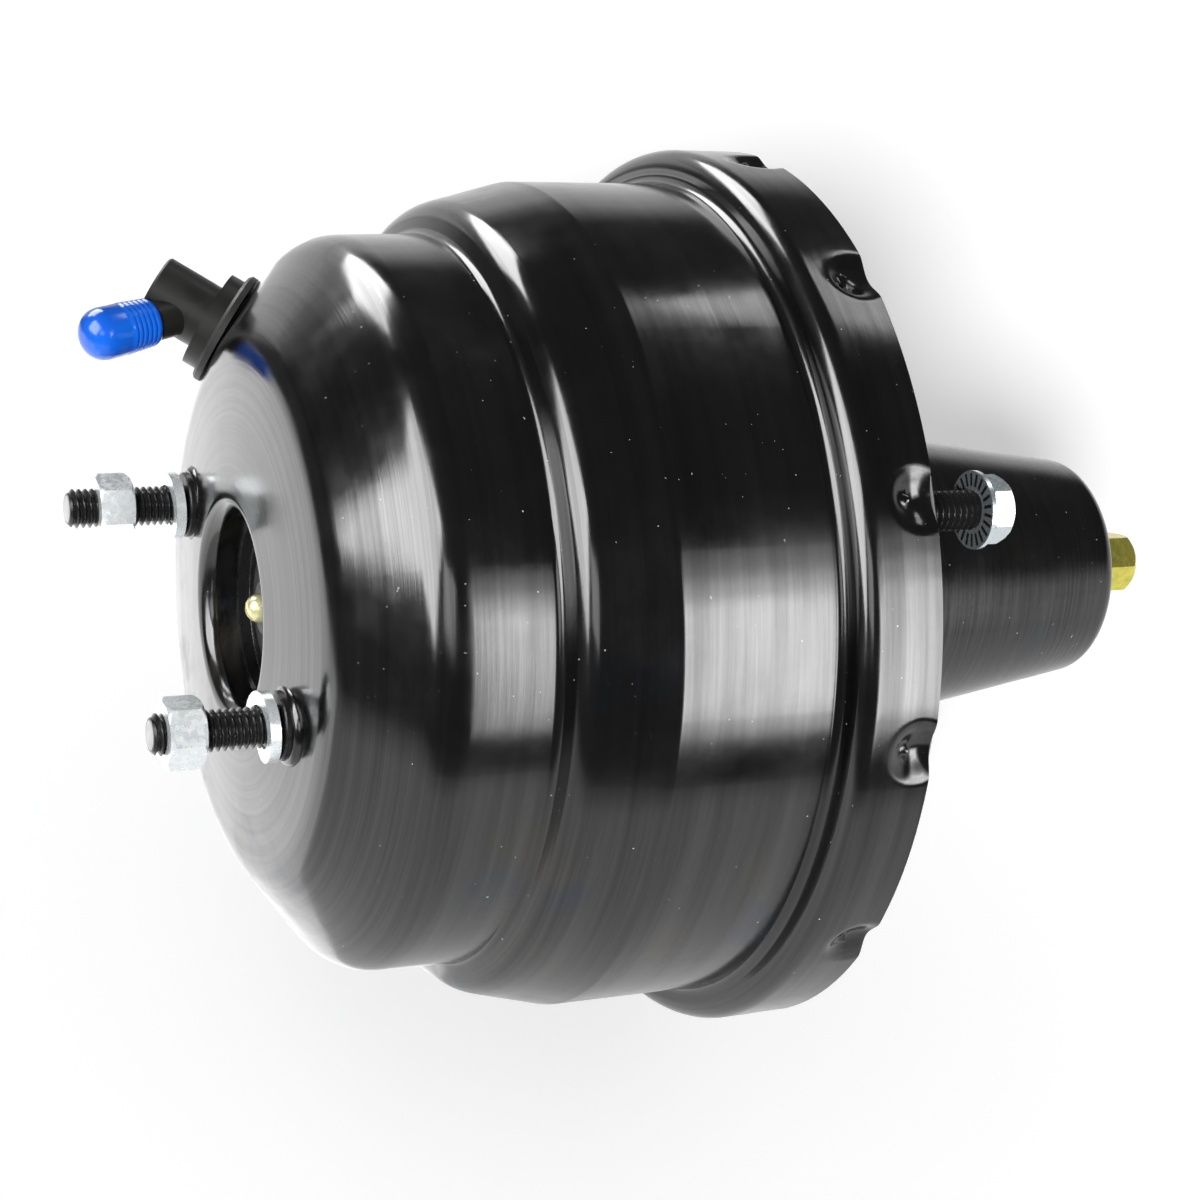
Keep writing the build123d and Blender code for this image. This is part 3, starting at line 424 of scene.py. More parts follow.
BLACK = (0.0025, 0.0025, 0.0024)
BROWN_STAIN = (0.030, 0.026, 0.020)
BLUE_STAIN = (0.011, 0.017, 0.034)
DUST = (0.42, 0.40, 0.36)
STAIN_HEIGHTS = (0.012, -0.03)
RIM_START = (-0.027, -0.025)


def paint(name, grooves):
    """Gloss black enamel with dust in it, faint oily stains and a little orange peel."""
    finish = Finish(name, BLACK, roughness=0.14, IOR=1.65)
    place = finish.split(finish.place)

    # Stains are smears inside larger patches, mostly on the lower half
    smear = finish.ramp(finish.noise(24, 6, 0.66, distortion=1.2), 0.50, 0.62)
    patch = finish.ramp(finish.noise(7.5, 2, 0.5), 0.44, 0.56)
    under = finish.ramp(place["Z"], *STAIN_HEIGHTS, 0.08, 1.0)
    stain = finish.math("MULTIPLY", finish.math("MULTIPLY", smear, patch), under)
    blue = finish.ramp(finish.noise(38, 3, 0.5), 0.47, 0.6)
    body = finish.mix(stain, BLACK, finish.mix(blue, BROWN_STAIN, BLUE_STAIN))
    speck = finish.ramp(finish.noise(1100, 1, 0.4), 0.80, 0.82)
    finish.color(finish.mix(speck, body, DUST))

    # A thin film roughens the gloss; the grooves, the rim and the stains take some of it away
    film = finish.ramp(finish.noise(60, 4, 0.6), 0.3, 0.75, 0.10, 0.23)
    finish.roughness(finish.math("ADD", film, finish.math("MULTIPLY", stain, 0.07)))
    cut = finish.noise(1.0, 5, 0.72, grooves(finish))
    rim = finish.ramp(place["X"], *RIM_START, 0.0, 0.07)
    dull = finish.math("ADD", rim, finish.math("MULTIPLY", stain, 0.20))
    shine = finish.math("SUBTRACT", finish.ramp(cut, 0.35, 0.65, 0.40, 0.68), dull)
    finish.link(shine, finish.shader.inputs["Specular IOR Level"])
    finish.bump(finish.noise(420, 2, 0.5), 0.00002, 0.25)
    finish.bump(cut, 0.00005, 0.5)
    return finish


def turning_marks(finish):
    """Fine rings round the axis, left by the spinning of the sheet."""
    place = finish.split(finish.place)
    radius = finish.length(finish.join(Y=place["Y"], Z=place["Z"]))
    return finish.join(X=finish.math("MULTIPLY", radius, 620),
                       Y=finish.math("MULTIPLY", place["X"], 150),
                       Z=finish.math("MULTIPLY", place["Z"], 5))


def brush_marks(finish):
    """Fine scratches round the neck, close together along the axis."""
    return finish.stretched((1300, 30, 30))


black_paint = paint("gloss black enamel", turning_marks)
neck_paint = paint("brushed black enamel", brush_marks)

black_oxide = Finish("black oxide", (0.022, 0.022, 0.023), metallic=0.6, roughness=0.28)
black_oxide.worn(500, 3, 0.2, 0.42)

bright_zinc = Finish("bright zinc plating", (0.80, 0.83, 0.85), metallic=0.55, roughness=0.24)
bright_zinc.color(bright_zinc.mix(bright_zinc.ramp(bright_zinc.noise(700, 4), 0.35, 0.7),
                                  (0.84, 0.86, 0.86), (0.70, 0.76, 0.79)))
bright_zinc.worn(600, 4, 0.2, 0.36)
bright_zinc.bump(bright_zinc.noise(1.0, 4, 0.6, bright_zinc.stretched((500, 2600, 900))),
                 0.00002, 0.5)

yellow_zinc = Finish("yellow zinc plating", (0.70, 0.62, 0.12), metallic=0.85, roughness=0.2)
yellow_zinc.color(yellow_zinc.mix(yellow_zinc.ramp(yellow_zinc.noise(420, 4), 0.35, 0.7),
                                  (0.74, 0.66, 0.12), (0.52, 0.50, 0.10)))
yellow_zinc.worn(700, 3, 0.14, 0.3)

plain_steel = Finish("plain steel", (0.36, 0.36, 0.36), metallic=0.7, roughness=0.35)
plain_steel.worn(300, 4, 0.25, 0.5)
spring_steel = Finish("spring steel", (0.24, 0.24, 0.26), metallic=1.0, roughness=0.3)
spring_steel.worn(400, 3, 0.2, 0.45)

phenolic = Finish("moulded phenolic", (0.030, 0.022, 0.018), roughness=0.42)
phenolic.worn(150, 4, 0.34, 0.55)
phenolic.bump(phenolic.noise(900, 3), 0.00003, 0.4)

black_nylon = Finish("black nylon", (0.013, 0.013, 0.012), roughness=0.42,
                     Specular_IOR_Level=0.3)
black_nylon.worn(220, 4, 0.32, 0.52)
black_nylon.bump(black_nylon.noise(1400, 2), 0.00003, 0.35)

black_rubber = Finish("black rubber", (0.018, 0.018, 0.017), roughness=0.5,
                      Specular_IOR_Level=0.35)
black_rubber.worn(180, 4, 0.40, 0.62)
black_rubber.bump(black_rubber.noise(1000, 3), 0.00003, 0.5)

blue_vinyl = Finish("blue vinyl", (0.010, 0.13, 0.78), roughness=0.16)
blue_vinyl.color(blue_vinyl.mix(blue_vinyl.ramp(blue_vinyl.noise(90, 3), 0.3, 0.75),
                                (0.003, 0.085, 0.56), (0.006, 0.13, 0.68)))
blue_vinyl.worn(300, 2, 0.1, 0.24)

foam = Finish("filter foam", (0.13, 0.13, 0.12), roughness=0.95)
foam.color(foam.mix(foam.ramp(foam.noise(900, 3), 0.35, 0.65), (0.05, 0.05, 0.05),
                    (0.2, 0.2, 0.18)))
foam.bump(foam.noise(1500, 2), 0.0004, 1.0)

SLOT_FINISH = {
    "black_paint": black_paint, "black_oxide": black_oxide, "bright_zinc": bright_zinc,
    "yellow_zinc": yellow_zinc, "plain_steel": plain_steel, "spring_steel": spring_steel,
    "phenolic": phenolic, "black_nylon": black_nylon, "black_rubber": black_rubber,
    "blue_vinyl": blue_vinyl, "filter_foam": foam,
}
for part in frame["record"]["subparts"]:
    SLOT_FINISH[part["material_slot"]].on(nodes[part["node"]])

pale_zinc = Finish("pale yellow zinc", (0.72, 0.68, 0.38), metallic=0.5, roughness=0.25)
pale_zinc.worn(700, 3, 0.18, 0.34)
pale_zinc.on(nodes["adjusting_screw"])
# A darker copy of the bright zinc for the flange nuts: painted shade, so that the same plating
# renders darker on them
painted_shade_zinc = Finish("shaded zinc", (0.62, 0.68, 0.72), metallic=0.85, roughness=0.24)
painted_shade_zinc.worn(600, 4, 0.18, 0.34)
painted_shade_zinc.on(nodes["firewall_nuts"])


def piece(name, mesh, body, stands_for, slot, smooth=40.0):
    """A finished mesh as a piece of the object: its body, the nodes it replaces, its finish."""
    mesh.set_sharp_from_angle(angle=math.radians(smooth))
    obj = linked(name, mesh)
    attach(obj, body)
    if stands_for:
        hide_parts(*stands_for)
    SLOT_FINISH[slot].on(obj)
    return obj


# ------------------------------------------------------------------ front shell
def lance_angles():
    """Angles round the rim, close together at the pressed tabs."""
    angles = []
    near = math.radians(LANCE_SPREAD)
    gap = LANCE_PITCH - 2 * near
    for k in range(LANCE_COUNT):
        middle = math.radians(LANCE_START) + k * LANCE_PITCH
        angles += [middle + near * i / FINE_STEPS for i in range(-FINE_STEPS, FINE_STEPS + 1)]
        angles += [middle + near + gap * i / COARSE_STEPS for i in range(1, COARSE_STEPS)]
    return angles


def off_lance(angle):
    """How far an angle is from the nearest tab's middle, in millimetres round the rim."""
    past_start = angle - math.radians(LANCE_START) + LANCE_PITCH / 2
    return (past_start % LANCE_PITCH - LANCE_PITCH / 2) * RIM_RADIUS


def soft_step(value):
    """A soft step from 0 to 1."""
    value = min(1.0, max(0.0, value))
    return value * value * (3 - 2 * value)


def tab_depth(x, off):
    """How deep the sheet is pressed in at a place on the rim, and less so on the flap."""
    share = 1 - ((x - LANCE_MIDDLE_X) ** 2 + off ** 2) / LANCE_RADIUS ** 2
    if share <= 0:
        return 0.0
    depth = LANCE_DEPTH * share ** LANCE_FALL
    if x < SLIT_X:
        flap = soft_step((SLIT_HALF - abs(off)) / SLIT_FADE)
        depth *= 1 - FLAP_LIFT * flap * soft_step((x - FLAP_X) / FLAP_LENGTH)
    return depth


def press_tab(p, angle):
    """The place of a point of the shell's outline at an angle, with the tabs pressed in."""
    if p.y > TAB_INNER_RADIUS and p.x > TAB_FRONT_X:
        return p.x, p.y - tab_depth(p.x, off_lance(angle))
    return p.x, p.y


def in_slit(i, j):
    """Whether a face of the shell lies in a slit, where the sheet is open."""
    off = abs(off_lance((angles[j] + angles[(j + 1) % around]) / 2))
    row = i if i < outer_count else total - 2 - i
    return row == slit_row and off < SLIT_HALF


outer_line = rounded(SHELL_PATH, SHELL_BENDS)
rim_end = outer_line.pop()
rim_start = outer_line[-1]
for x in RIM_ROWS:
    outer_line.append(rim_start.lerp(rim_end, (x - rim_start.x) / (rim_end.x - rim_start.x)))
outer_count = len(outer_line)
slit_row = outer_count - len(RIM_ROWS) + RIM_ROWS.index(SLIT_ROW)
shell_line = outer_line + beside(outer_line, SHEET)[::-1]
total = len(shell_line)
angles = lance_angles()
around = len(angles)
points, faces = turned(shell_line, angles, press_tab, in_slit)
for j in range(around):
    if in_slit(slit_row, j):
        m = (j + 1) % around
        for row in (slit_row, slit_row + 1):
            other = total - 1 - row
            faces.append((row * around + j, row * around + m, other * around + m,
                          other * around + j))
piece("front_shell_visible", mesh_of("front_shell_visible", points, faces), "housing",
      ["front_shell"], "black_paint", smooth=50)

# ------------------------------------------------------------------ rear shell and neck
rear_outer = rounded(REAR_PATH, REAR_BENDS)
rear_line = rear_outer + beside(rear_outer, SHEET)[::-1]
points, faces = turned(filled(rear_line, REAR_LONGEST_STEP), even_angles(REAR_SEGMENTS))
rear_shell = piece("rear_shell_visible", mesh_of("rear_shell_visible", points, faces), "housing",
                   ["rear_shell"], "black_paint", smooth=50)
neck_paint.on(rear_shell)


# ------------------------------------------------------------------ trees that make pieces
class Maker(Nodes):
    """A Geometry Nodes tree with number inputs, a material and, where asked, a count."""

    def __init__(self, name, numbers, count=None):
        super().__init__(bpy.data.node_groups.new(name, "GeometryNodeTree"))
        sockets = self.tree.interface
        sockets.new_socket(name="Geometry", in_out="OUTPUT", socket_type="NodeSocketGeometry")
        for label in numbers:
            sockets.new_socket(name=label, in_out="INPUT", socket_type="NodeSocketFloat")
        if count:
            sockets.new_socket(name=count, in_out="INPUT", socket_type="NodeSocketInt")
        sockets.new_socket(name="Finish", in_out="INPUT", socket_type="NodeSocketMaterial")
        self.given = self.add("NodeGroupInput").outputs

    def finished(self, geometry):
        """Makes copies real, dresses them and hands them out."""
        real = self.add("GeometryNodeRealizeInstances", {0: geometry})
        dress = self.add("GeometryNodeSetMaterial", {
            "Geometry": real.outputs[0], "Material": self.given["Finish"]})
        self.add("NodeGroupOutput", {0: dress.outputs[0]})

    def laid(self, geometry):
        """Geometry made along Z, laid along X and moved to the place that is given."""
        shift = self.join(X=self.given["Place"])
        node = self.add("GeometryNodeTransform", {
            "Geometry": geometry, "Rotation": (0, math.pi / 2, 0), "Translation": shift})
        return node.outputs[0]

    def make(self, **values):
        """The plain mesh that the tree makes with these inputs."""
        holder = linked("maker", bpy.data.meshes.new("maker"))
        modifier = holder.modifiers.new("made", "NODES")
        modifier.node_group = self.tree
        for item in self.tree.interface.items_tree:
            if item.in_out == "INPUT":
                modifier[item.identifier] = values[item.name.replace(" ", "_")]
        bpy.context.view_layer.update()
        graph = bpy.context.evaluated_depsgraph_get()
        mesh = bpy.data.meshes.new_from_object(holder.evaluated_get(graph))
        bpy.data.objects.remove(holder)
        return mesh


def thread_maker():
    """A sheet of points wrapped round X, with the thread's helix in its radius."""
    maker = Maker("Rolled thread", ["Start", "Length", "Radius", "Pitch", "Depth",
                                    "End Chamfer"], "Rows")
    given, calc = maker.given, maker.math
    sheet = maker.add("GeometryNodeMeshGrid", {
        "Size X": 1, "Size Y": 1, "Vertices X": given["Rows"], "Vertices Y": ROUND + 1})
    where = maker.split(maker.add("GeometryNodeInputPosition").outputs[0])
    share = calc("ADD", where["X"], 0.5)
    turn = calc("ADD", where["Y"], 0.5)
    along = calc("MULTIPLY_ADD", share, given["Length"], given["Start"])
    winding = calc("SUBTRACT", calc("DIVIDE", along, given["Pitch"]), turn)
    tooth = calc("PINGPONG", winding, 0.5)
    flank = calc("MINIMUM", calc("MAXIMUM", calc("MULTIPLY_ADD", tooth, *THREAD_FLANK),
                                 0.0), 1.0)
    groove = calc("MULTIPLY", calc("SUBTRACT", 1.0, flank), given["Depth"])
    crest = calc("SUBTRACT", given["Radius"], groove)
    left = calc("SUBTRACT", calc("ADD", given["Start"], given["Length"]), along)
    cone = calc("ADD", calc("SUBTRACT", given["Radius"], given["End Chamfer"]), left)
    radius = calc("MINIMUM", crest, cone)
    angle = calc("MULTIPLY", turn, 2 * math.pi)
    wrapped = maker.join(X=along, Y=calc("MULTIPLY", radius, calc("COSINE", angle)),
                         Z=calc("MULTIPLY", radius, calc("SINE", angle)))
    move = maker.add("GeometryNodeSetPosition", {
        "Geometry": sheet.outputs["Mesh"], "Position": wrapped})
    weld = maker.add("GeometryNodeMergeByDistance", {
        "Geometry": move.outputs[0], "Distance": WELD})
    maker.finished(weld.outputs[0])
    return maker


def tooth_maker():
    """A ring of wedge-shaped teeth about X, lying on one plane."""
    maker = Maker("Ring of teeth", ["Ring Radius", "Tooth Length", "Tooth Width",
                                    "Tooth Height", "Place"], "Teeth")
    given = maker.given
    ring = maker.add("GeometryNodeMeshCircle", {
        "Vertices": given["Teeth"], "Radius": given["Ring Radius"]})
    size = maker.join(X=given["Tooth Length"], Y=given["Tooth Width"], Z=given["Tooth Height"])
    wedge = maker.add("GeometryNodeMeshCube", {"Size": size})
    where = maker.add("GeometryNodeInputPosition").outputs[0]
    aim = maker.add("FunctionNodeAlignEulerToVector", {"Vector": where})
    copies = maker.add("GeometryNodeInstanceOnPoints", {
        "Points": ring.outputs["Mesh"], "Instance": wedge.outputs["Mesh"],
        "Rotation": aim.outputs[0]})
    maker.finished(maker.laid(copies.outputs[0]))
    return maker


def spring_maker():
    """A round wire wound along X."""
    maker = Maker("Wound spring", ["Wire Radius", "Coil Radius", "Turns", "Length", "Place"])
    given = maker.given
    coil = maker.add("GeometryNodeCurveSpiral", {
        "Resolution": COIL_STEPS, "Rotations": given["Turns"], "Start Radius": given["Coil Radius"],
        "End Radius": given["Coil Radius"], "Height": given["Length"]})
    wire = maker.add("GeometryNodeCurvePrimitiveCircle", {
        "Resolution": WIRE_SIDES, "Radius": given["Wire Radius"]})
    tube = maker.add("GeometryNodeCurveToMesh", {
        "Curve": coil.outputs[0], "Profile Curve": wire.outputs["Curve"], "Fill Caps": True})
    rounded_off = maker.add("GeometryNodeSetShadeSmooth", {
        "Geometry": maker.laid(tube.outputs[0])})
    maker.finished(rounded_off.outputs[0])
    return maker


rolled_thread = thread_maker()
tooth_ring = tooth_maker()
wound_spring = spring_maker()


# ------------------------------------------------------------------ studs, pads and teeth
def stud_mesh(wall, collar_radius, collar_height, plain, length):
    """One stud along +X from its wall's outer face at X = 0."""
    thread = rolled_thread.make(
        Start=plain * MM, Length=(length - plain) * MM, Radius=STUD_RADIUS * MM,
        Pitch=THREAD_PITCH * MM, Depth=THREAD_DEPTH * MM, End_Chamfer=THREAD_TIP_CHAMFER * MM,
        Rows=int((length - plain) / THREAD_PITCH * THREAD_ROWS) + 1,
        Finish=black_oxide.material)
    bm = bmesh.new()
    bm.from_mesh(thread)
    bpy.data.meshes.remove(thread)
    head_x = -wall - STUD_HEAD_HEIGHT
    rows = [(head_x, POLE), (head_x, STUD_HEAD_RADIUS - STUD_HEAD_CHAMFER),
            (head_x + STUD_HEAD_CHAMFER, STUD_HEAD_RADIUS), (-wall, STUD_HEAD_RADIUS),
            (-wall, STUD_NECK_RADIUS), (0.0, STUD_NECK_RADIUS)]
    if collar_height:
        rows += [(0.0, collar_radius - COLLAR_FOOT), (0.0, collar_radius),
                 (collar_height - COLLAR_CHAMFER, collar_radius),
                 (collar_height, collar_radius - COLLAR_CHAMFER),
                 (collar_height, STUD_RADIUS + STUD_FILLET),
                 (collar_height + STUD_FILLET, STUD_RADIUS)]
    rows += [(plain - THREAD_RUNOUT, STUD_RADIUS), (plain, STUD_RADIUS - STUD_FILLET)]
    bm.faces.new(add_rings(bm, rows)[0])
    tip = [v for v in bm.verts if abs(v.co.x - length * MM) < 10 * WELD]
    tip.sort(key=lambda v: math.atan2(v.co.z, v.co.y))
    bm.faces.new(tip)
    return smoothed(bm)


def closed_mesh(rows):
    """A shape turned about X from (x, radius) rows, closed by flat ends."""
    bm = bmesh.new()
    rings = add_rings(bm, rows)
    bm.faces.new(rings[0])
    bm.faces.new(rings[-1])
    return smoothed(bm)


def placed(name, bm, spots, facing, stands_for, slot, smooth=40.0):
    """Copies of one mesh at (x, y, z) spots, pointing along +X or -X, as one piece."""
    source = bpy.data.meshes.new(name)
    bm.to_mesh(source)
    bm.free()
    turn = Matrix.Identity(4) if facing > 0 else Matrix.Rotation(math.pi, 4, "Z")
    out = bmesh.new()
    for spot in spots:
        copy = source.copy()
        copy.transform(Matrix.Translation(Vector(spot) * MM) @ turn)
        out.from_mesh(copy)
        bpy.data.meshes.remove(copy)
    out.to_mesh(source)
    out.free()
    piece(name, source, "housing", stands_for, slot, smooth)


placed("master_cylinder_studs_threaded",
       stud_mesh(PAD_THICKNESS, FRONT_COLLAR_RADIUS, FRONT_COLLAR_HEIGHT, FRONT_PLAIN_LENGTH,
                 FRONT_STUD_LENGTH),
       front_spots, -1, ["master_cylinder_studs"], "black_oxide", 30)
placed("firewall_studs_threaded", stud_mesh(SHEET, 0, 0, REAR_PLAIN_LENGTH, REAR_STUD_LENGTH),
       rear_spots, 1, ["firewall_studs"], "black_oxide", 30)

placed("stud_pads", closed_mesh(PAD_ROWS), front_spots, -1, [], "black_paint", 50)

# The bright sawn ends of the studs
for side, spots, facing, length in (("front", front_spots, -1, FRONT_STUD_LENGTH),
                                    ("rear", rear_spots, 1, REAR_STUD_LENGTH)):
    tips = [(x + facing * length, y, z) for x, y, z in spots]
    placed(side + "_stud_ends", closed_mesh(STUD_END_ROWS), tips, facing, [], "plain_steel")

tooth_length, tooth_width, tooth_height = TOOTH_SIZE
teeth = bmesh.new()
teeth.from_mesh(tooth_ring.make(
    Ring_Radius=TOOTH_RING_RADIUS * MM, Tooth_Length=tooth_length * MM,
    Tooth_Width=tooth_width * MM, Tooth_Height=tooth_height * MM, Place=TOOTH_X * MM,
    Teeth=TOOTH_COUNT, Finish=black_oxide.material))
placed("flange_nut_teeth", teeth, rear_spots, 1, [], "black_oxide")

# ------------------------------------------------------------------ check valve's directions
cone_x, cone_radius = [(a + b) / 2 for a, b in zip(FACE_EDGE, SHOULDER)]
cone_tilt = math.atan2(SHOULDER[1] - FACE_EDGE[1], SHOULDER[0] - FACE_EDGE[0])
valve_out = Vector((0, math.cos(VALVE_ANGLE), math.sin(VALVE_ANGLE)))
valve_seat = Vector((cone_x, 0, 0)) + valve_out * cone_radius
valve_normal = Vector((-math.sin(cone_tilt), 0, 0)) + valve_out * math.cos(cone_tilt)
valve_along = Vector((math.cos(cone_tilt), 0, 0)) + valve_out * math.sin(cone_tilt)
valve_across = valve_normal.cross(valve_along)
nozzle = (valve_along * -math.cos(NOZZLE_TILT) * math.cos(NOZZLE_SWING)
          - valve_across * math.cos(NOZZLE_TILT) * math.sin(NOZZLE_SWING)
          + valve_normal * math.sin(NOZZLE_TILT))
nozzle_root = valve_seat + valve_normal * NOZZLE_HEIGHT


# ------------------------------------------------------------------ springs
def spring(node, body, wire, radius, turns, start, end, stands_on=None):
    """A spring between two places along X, or along the X of another frame."""
    mesh = wound_spring.make(
        Wire_Radius=wire * MM, Coil_Radius=radius * MM, Turns=turns,
        Length=(end - start - 2 * wire) * MM, Place=(start + wire) * MM,
        Finish=spring_steel.material)
    if stands_on is not None:
        mesh.transform(stands_on)
    return piece(node + "_wire", mesh, body, [node], "spring_steel")


return_spring = spring("return_spring", "housing", wire=1.6, radius=28.8, turns=3.4,
                       start=-135.5, end=-91.4)
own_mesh(return_spring)
rod_spring = spring("rod_spring", "power_piston", wire=0.65, radius=11.2, turns=6.0,
                    start=-9.4, end=15.3)
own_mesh(rod_spring)
spring("poppet_spring", "power_piston", wire=0.5, radius=9.8, turns=5.0, start=-29.4, end=-12.1)
valve_spring_end = 18.7
valve_spring = spring("check_valve_spring", "housing", wire=0.3, radius=4.2, turns=5.0,
                      start=9.2, end=valve_spring_end,
                      stands_on=along_x(valve_seat, valve_normal))
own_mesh(valve_spring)


# ------------------------------------------------------------------ diaphragms
def diaphragm(name, outline, body, *stands_for):
    """A closed outline turned about the axis, in rubber."""
    points, faces = turned([Vector(p) for p in outline], even_angles(DIAPHRAGM_SEGMENTS))
    piece(name, mesh_of(name, points, faces), body, stands_for, "black_rubber")


diaphragm("secondary_diaphragm_edge", SECONDARY_EDGE, "housing", "secondary_diaphragm")
diaphragm("secondary_diaphragm_disc", SECONDARY_DISC, "power_piston")
diaphragm("primary_diaphragm_edge", PRIMARY_EDGE, "housing", "primary_diaphragm")
diaphragm("primary_diaphragm_disc", PRIMARY_DISC, "power_piston")


# ------------------------------------------------------------------ cap on the valve's nozzle
def cap_outline():
    """The cap's section: a bore, a mouth with fine ridges, a barrel and a round end."""
    line = [(CAP_BORE_END, POLE), (CAP_BORE_END, CAP_BORE), (CAP_START, CAP_BORE),
            (CAP_START, CAP_MOUTH_RADIUS)]
    for i in range(CAP_RIDGE_COUNT):
        x = CAP_START + CAP_RIDGE_START + i * CAP_RIDGE_PITCH
        r = CAP_ROOT_RADIUS + CAP_TAPER * (x - CAP_START)
        line.append((x, r))
        line += [(x + top, r + CAP_RIDGE_HEIGHT) for top in CAP_RIDGE_TOP]
        line.append((x + CAP_RIDGE_END, r - CAP_GROOVE_DEPTH))
    line.append(CAP_TAPER_END)
    for i in range(CAP_DOME_STEPS + 1):
        a = math.pi / 2 * i / CAP_DOME_STEPS
        line.append((CAP_END - CAP_DOME + CAP_DOME * math.sin(a),
                     CAP_RADIUS - CAP_DOME + CAP_DOME * math.cos(a)))
    line.append((CAP_END, POLE))
    return line


points, faces = turned([Vector(p) for p in cap_outline()], even_angles(CAP_SEGMENTS))
cap_mesh = mesh_of("nozzle_cap_visible", points, faces)
cap_mesh.transform(along_x(nozzle_root, nozzle))
piece("nozzle_cap_visible", cap_mesh, "cap", ["nozzle_cap"], "blue_vinyl", smooth=60)

# ------------------------------------------------------------------ floor
# Near the booster it is a lit table that takes the shadow; further off, and towards the
# white backdrop behind it, it passes into an even tone that is white to the camera.
BACKDROP_SIDE = (0.87, 0.5, 0.0)
FLOOR_Z = -112
FLOOR_REACH = 9000
TABLE_RADII = (0.42, 0.60)
BACKDROP_FADE = (0.0, 0.2)
TABLE_GLOW = 0.25
MIRRORED_TABLE = 0.9
MIRRORED_FAR_FLOOR = 0.1

floor_finish = Finish("pale floor", (0.92, 0.92, 0.92), roughness=1.0, Specular_IOR_Level=0.0)
rays = floor_finish.add("ShaderNodeLightPath").outputs
seen = rays["Is Camera Ray"]
mirrored = floor_finish.math("MAXIMUM", rays["Is Glossy Ray"], rays["Is Transmission Ray"])
near = floor_finish.ramp(floor_finish.length(floor_finish.place), *TABLE_RADII, 1.0, 0.0)
behind = floor_finish.ramp(floor_finish.along(floor_finish.place, BACKDROP_SIDE),
                           *BACKDROP_FADE)
under_it = floor_finish.math("MULTIPLY", near,
                             floor_finish.ramp(mirrored, 0, 1, 1.0, MIRRORED_TABLE))
table = floor_finish.math("MAXIMUM", under_it, behind)
glow_strength = floor_finish.math("MULTIPLY", TABLE_GLOW,
                                  floor_finish.math("MAXIMUM", seen, mirrored))
glow = floor_finish.add("ShaderNodeEmission", {"Strength": glow_strength})
plain_strength = floor_finish.ramp(seen, 0, 1, MIRRORED_FAR_FLOOR, 1.0)
plain = floor_finish.add("ShaderNodeEmission", {"Strength": plain_strength})
lit = floor_finish.add("ShaderNodeAddShader", {
    0: floor_finish.shader.outputs[0], 1: glow.outputs[0]})
edge = floor_finish.add("ShaderNodeMixShader", {
    0: table, 1: plain.outputs[0], 2: lit.outputs[0]})
floor_finish.link(edge.outputs[0], floor_finish.tree.nodes["Material Output"].inputs["Surface"])
floor_corners = [(x * FLOOR_REACH, y * FLOOR_REACH, FLOOR_Z)
                 for x, y in ((-1, -1), (1, -1), (1, 1), (-1, 1))]
floor = linked("floor", mesh_of("floor", floor_corners, [(0, 1, 2, 3)]))
floor_finish.on(floor)

# ------------------------------------------------------------------ camera
camera = linked("camera", bpy.data.cameras.new("camera"))
camera.data.lens = 79.80
camera.data.sensor_width = 36.0
camera.data.clip_start = 0.05
camera.location = (-0.31049, -0.47529, 0.36850)
camera.rotation_euler = [math.radians(a) for a in (54.880, -11.857, -21.227)]
bpy.context.scene.camera = camera


# ------------------------------------------------------------------ light
def towards(azimuth, elevation, distance):
    """A point in a direction from the booster's middle, in degrees and metres."""
    a, e = math.radians(azimuth), math.radians(elevation)
    return Vector((math.cos(e) * math.cos(a), math.cos(e) * math.sin(a), math.sin(e))) * distance


def area_lamp(name, width, height, brightness):
    """A lamp that only reflections show; its brightness is what a mirror would show."""
    lamp = bpy.data.lights.new(name, "AREA")
    lamp.shape = "RECTANGLE"
    lamp.size = width
    lamp.size_y = height
    lamp.energy = 4 * brightness * lamp.size * lamp.size_y
    obj = linked(name, lamp)
    obj.visible_diffuse = False
    return obj


def softbox(name, azimuths, elevations, brightness, distance=1.6):
    """A soft light facing the booster that fills a range of azimuths and elevations."""
    azimuth, elevation = sum(azimuths) / 2, sum(elevations) / 2
    width = math.radians(azimuths[1] - azimuths[0]) * math.cos(math.radians(elevation))
    height = math.radians(elevations[1] - elevations[0])
    obj = area_lamp(name, 2 * distance * math.tan(width / 2), 2 * distance * math.tan(height / 2),
                    brightness)
    obj.location = towards(azimuth, elevation, distance)
    obj.rotation_euler = obj.location.to_track_quat("Z", "Y").to_euler()


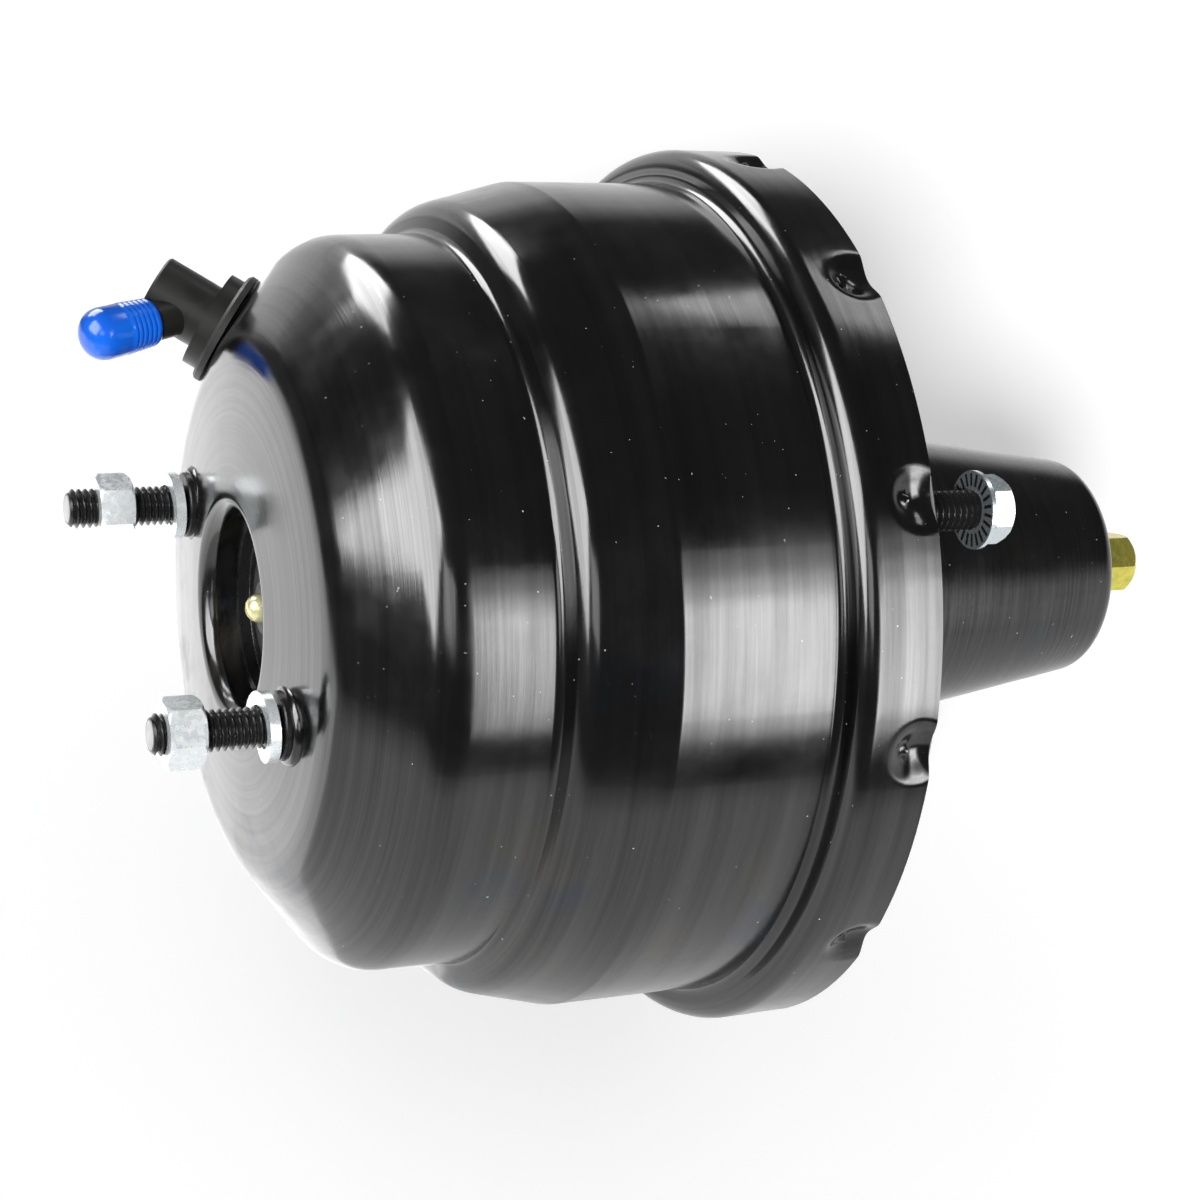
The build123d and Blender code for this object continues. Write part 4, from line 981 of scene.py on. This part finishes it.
softbox("left softbox", (165, 212), (8, 50), 6.8)
softbox("back softbox", (92, 130), (14, 42), 7.5)
softbox("top softbox", (18, 52), (48, 60), 3)
softbox("right softbox", (-75, -52), (3, 31), 5.8)
softbox("right softbox halo", (-78, -49), (-2, 36), 2.3)
softbox("right softbox outer halo", (-82, -45), (-7, 42), 1.3)
softbox("front softbox", (-140, -116), (19, 39), 2)

# The bright table, as the underside of the drum mirrors it
table_glow = area_lamp("table glow", 0.5, 0.5, 0.8)
table_glow.location = (-0.24, 0.22, FLOOR_Z * MM + 0.001)
table_glow.rotation_euler = (math.pi, 0, 0)

sun = bpy.data.lights.new("front lamp", "SUN")
sun.energy = 4.0
sun.angle = math.radians(8)
front_lamp = linked("front lamp", sun)
front_lamp.rotation_euler = towards(-125, 24, 1).to_track_quat("Z", "Y").to_euler()
front_lamp.visible_glossy = False

# ------------------------------------------------------------------ world
# White to the camera. Reflections see a dark room with a bright wall low behind the
# booster, and everything else gets an even fill.
WALL_TOP = (0.14, 0.34)
WALL_SIDE = (-0.1, 0.25)
WALL_BRIGHTNESS = 0.85
ROOM_BRIGHTNESS = 0.08
FILL = 0.35

world = bpy.data.worlds.new("studio")
bpy.context.scene.world = world
world.use_nodes = True
sky = Nodes(world.node_tree)
sky_rays = sky.add("ShaderNodeLightPath").outputs
direction = sky.add("ShaderNodeTexCoord").outputs["Generated"]
low = sky.ramp(sky.split(direction)["Z"], *WALL_TOP, 1.0, 0.0)
beyond = sky.ramp(sky.along(direction, BACKDROP_SIDE), *WALL_SIDE)
wall = sky.math("MULTIPLY", sky.math("MULTIPLY", low, beyond), WALL_BRIGHTNESS)
room = sky.math("ADD", wall, ROOM_BRIGHTNESS)
reflected = sky.math("MAXIMUM", sky_rays["Is Glossy Ray"], sky_rays["Is Transmission Ray"])
fill = sky.math("MULTIPLY", sky.math("SUBTRACT", 1.0, reflected), FILL)
soft = sky.math("ADD", sky.math("MULTIPLY", reflected, room), fill)
background = sky.tree.nodes["Background"].inputs
sky.feed(background["Strength"], sky.math("MAXIMUM", sky_rays["Is Camera Ray"], soft))
background["Color"].default_value = (1, 1, 1, 1)

view = bpy.context.scene.view_settings
view.view_transform = "Standard"
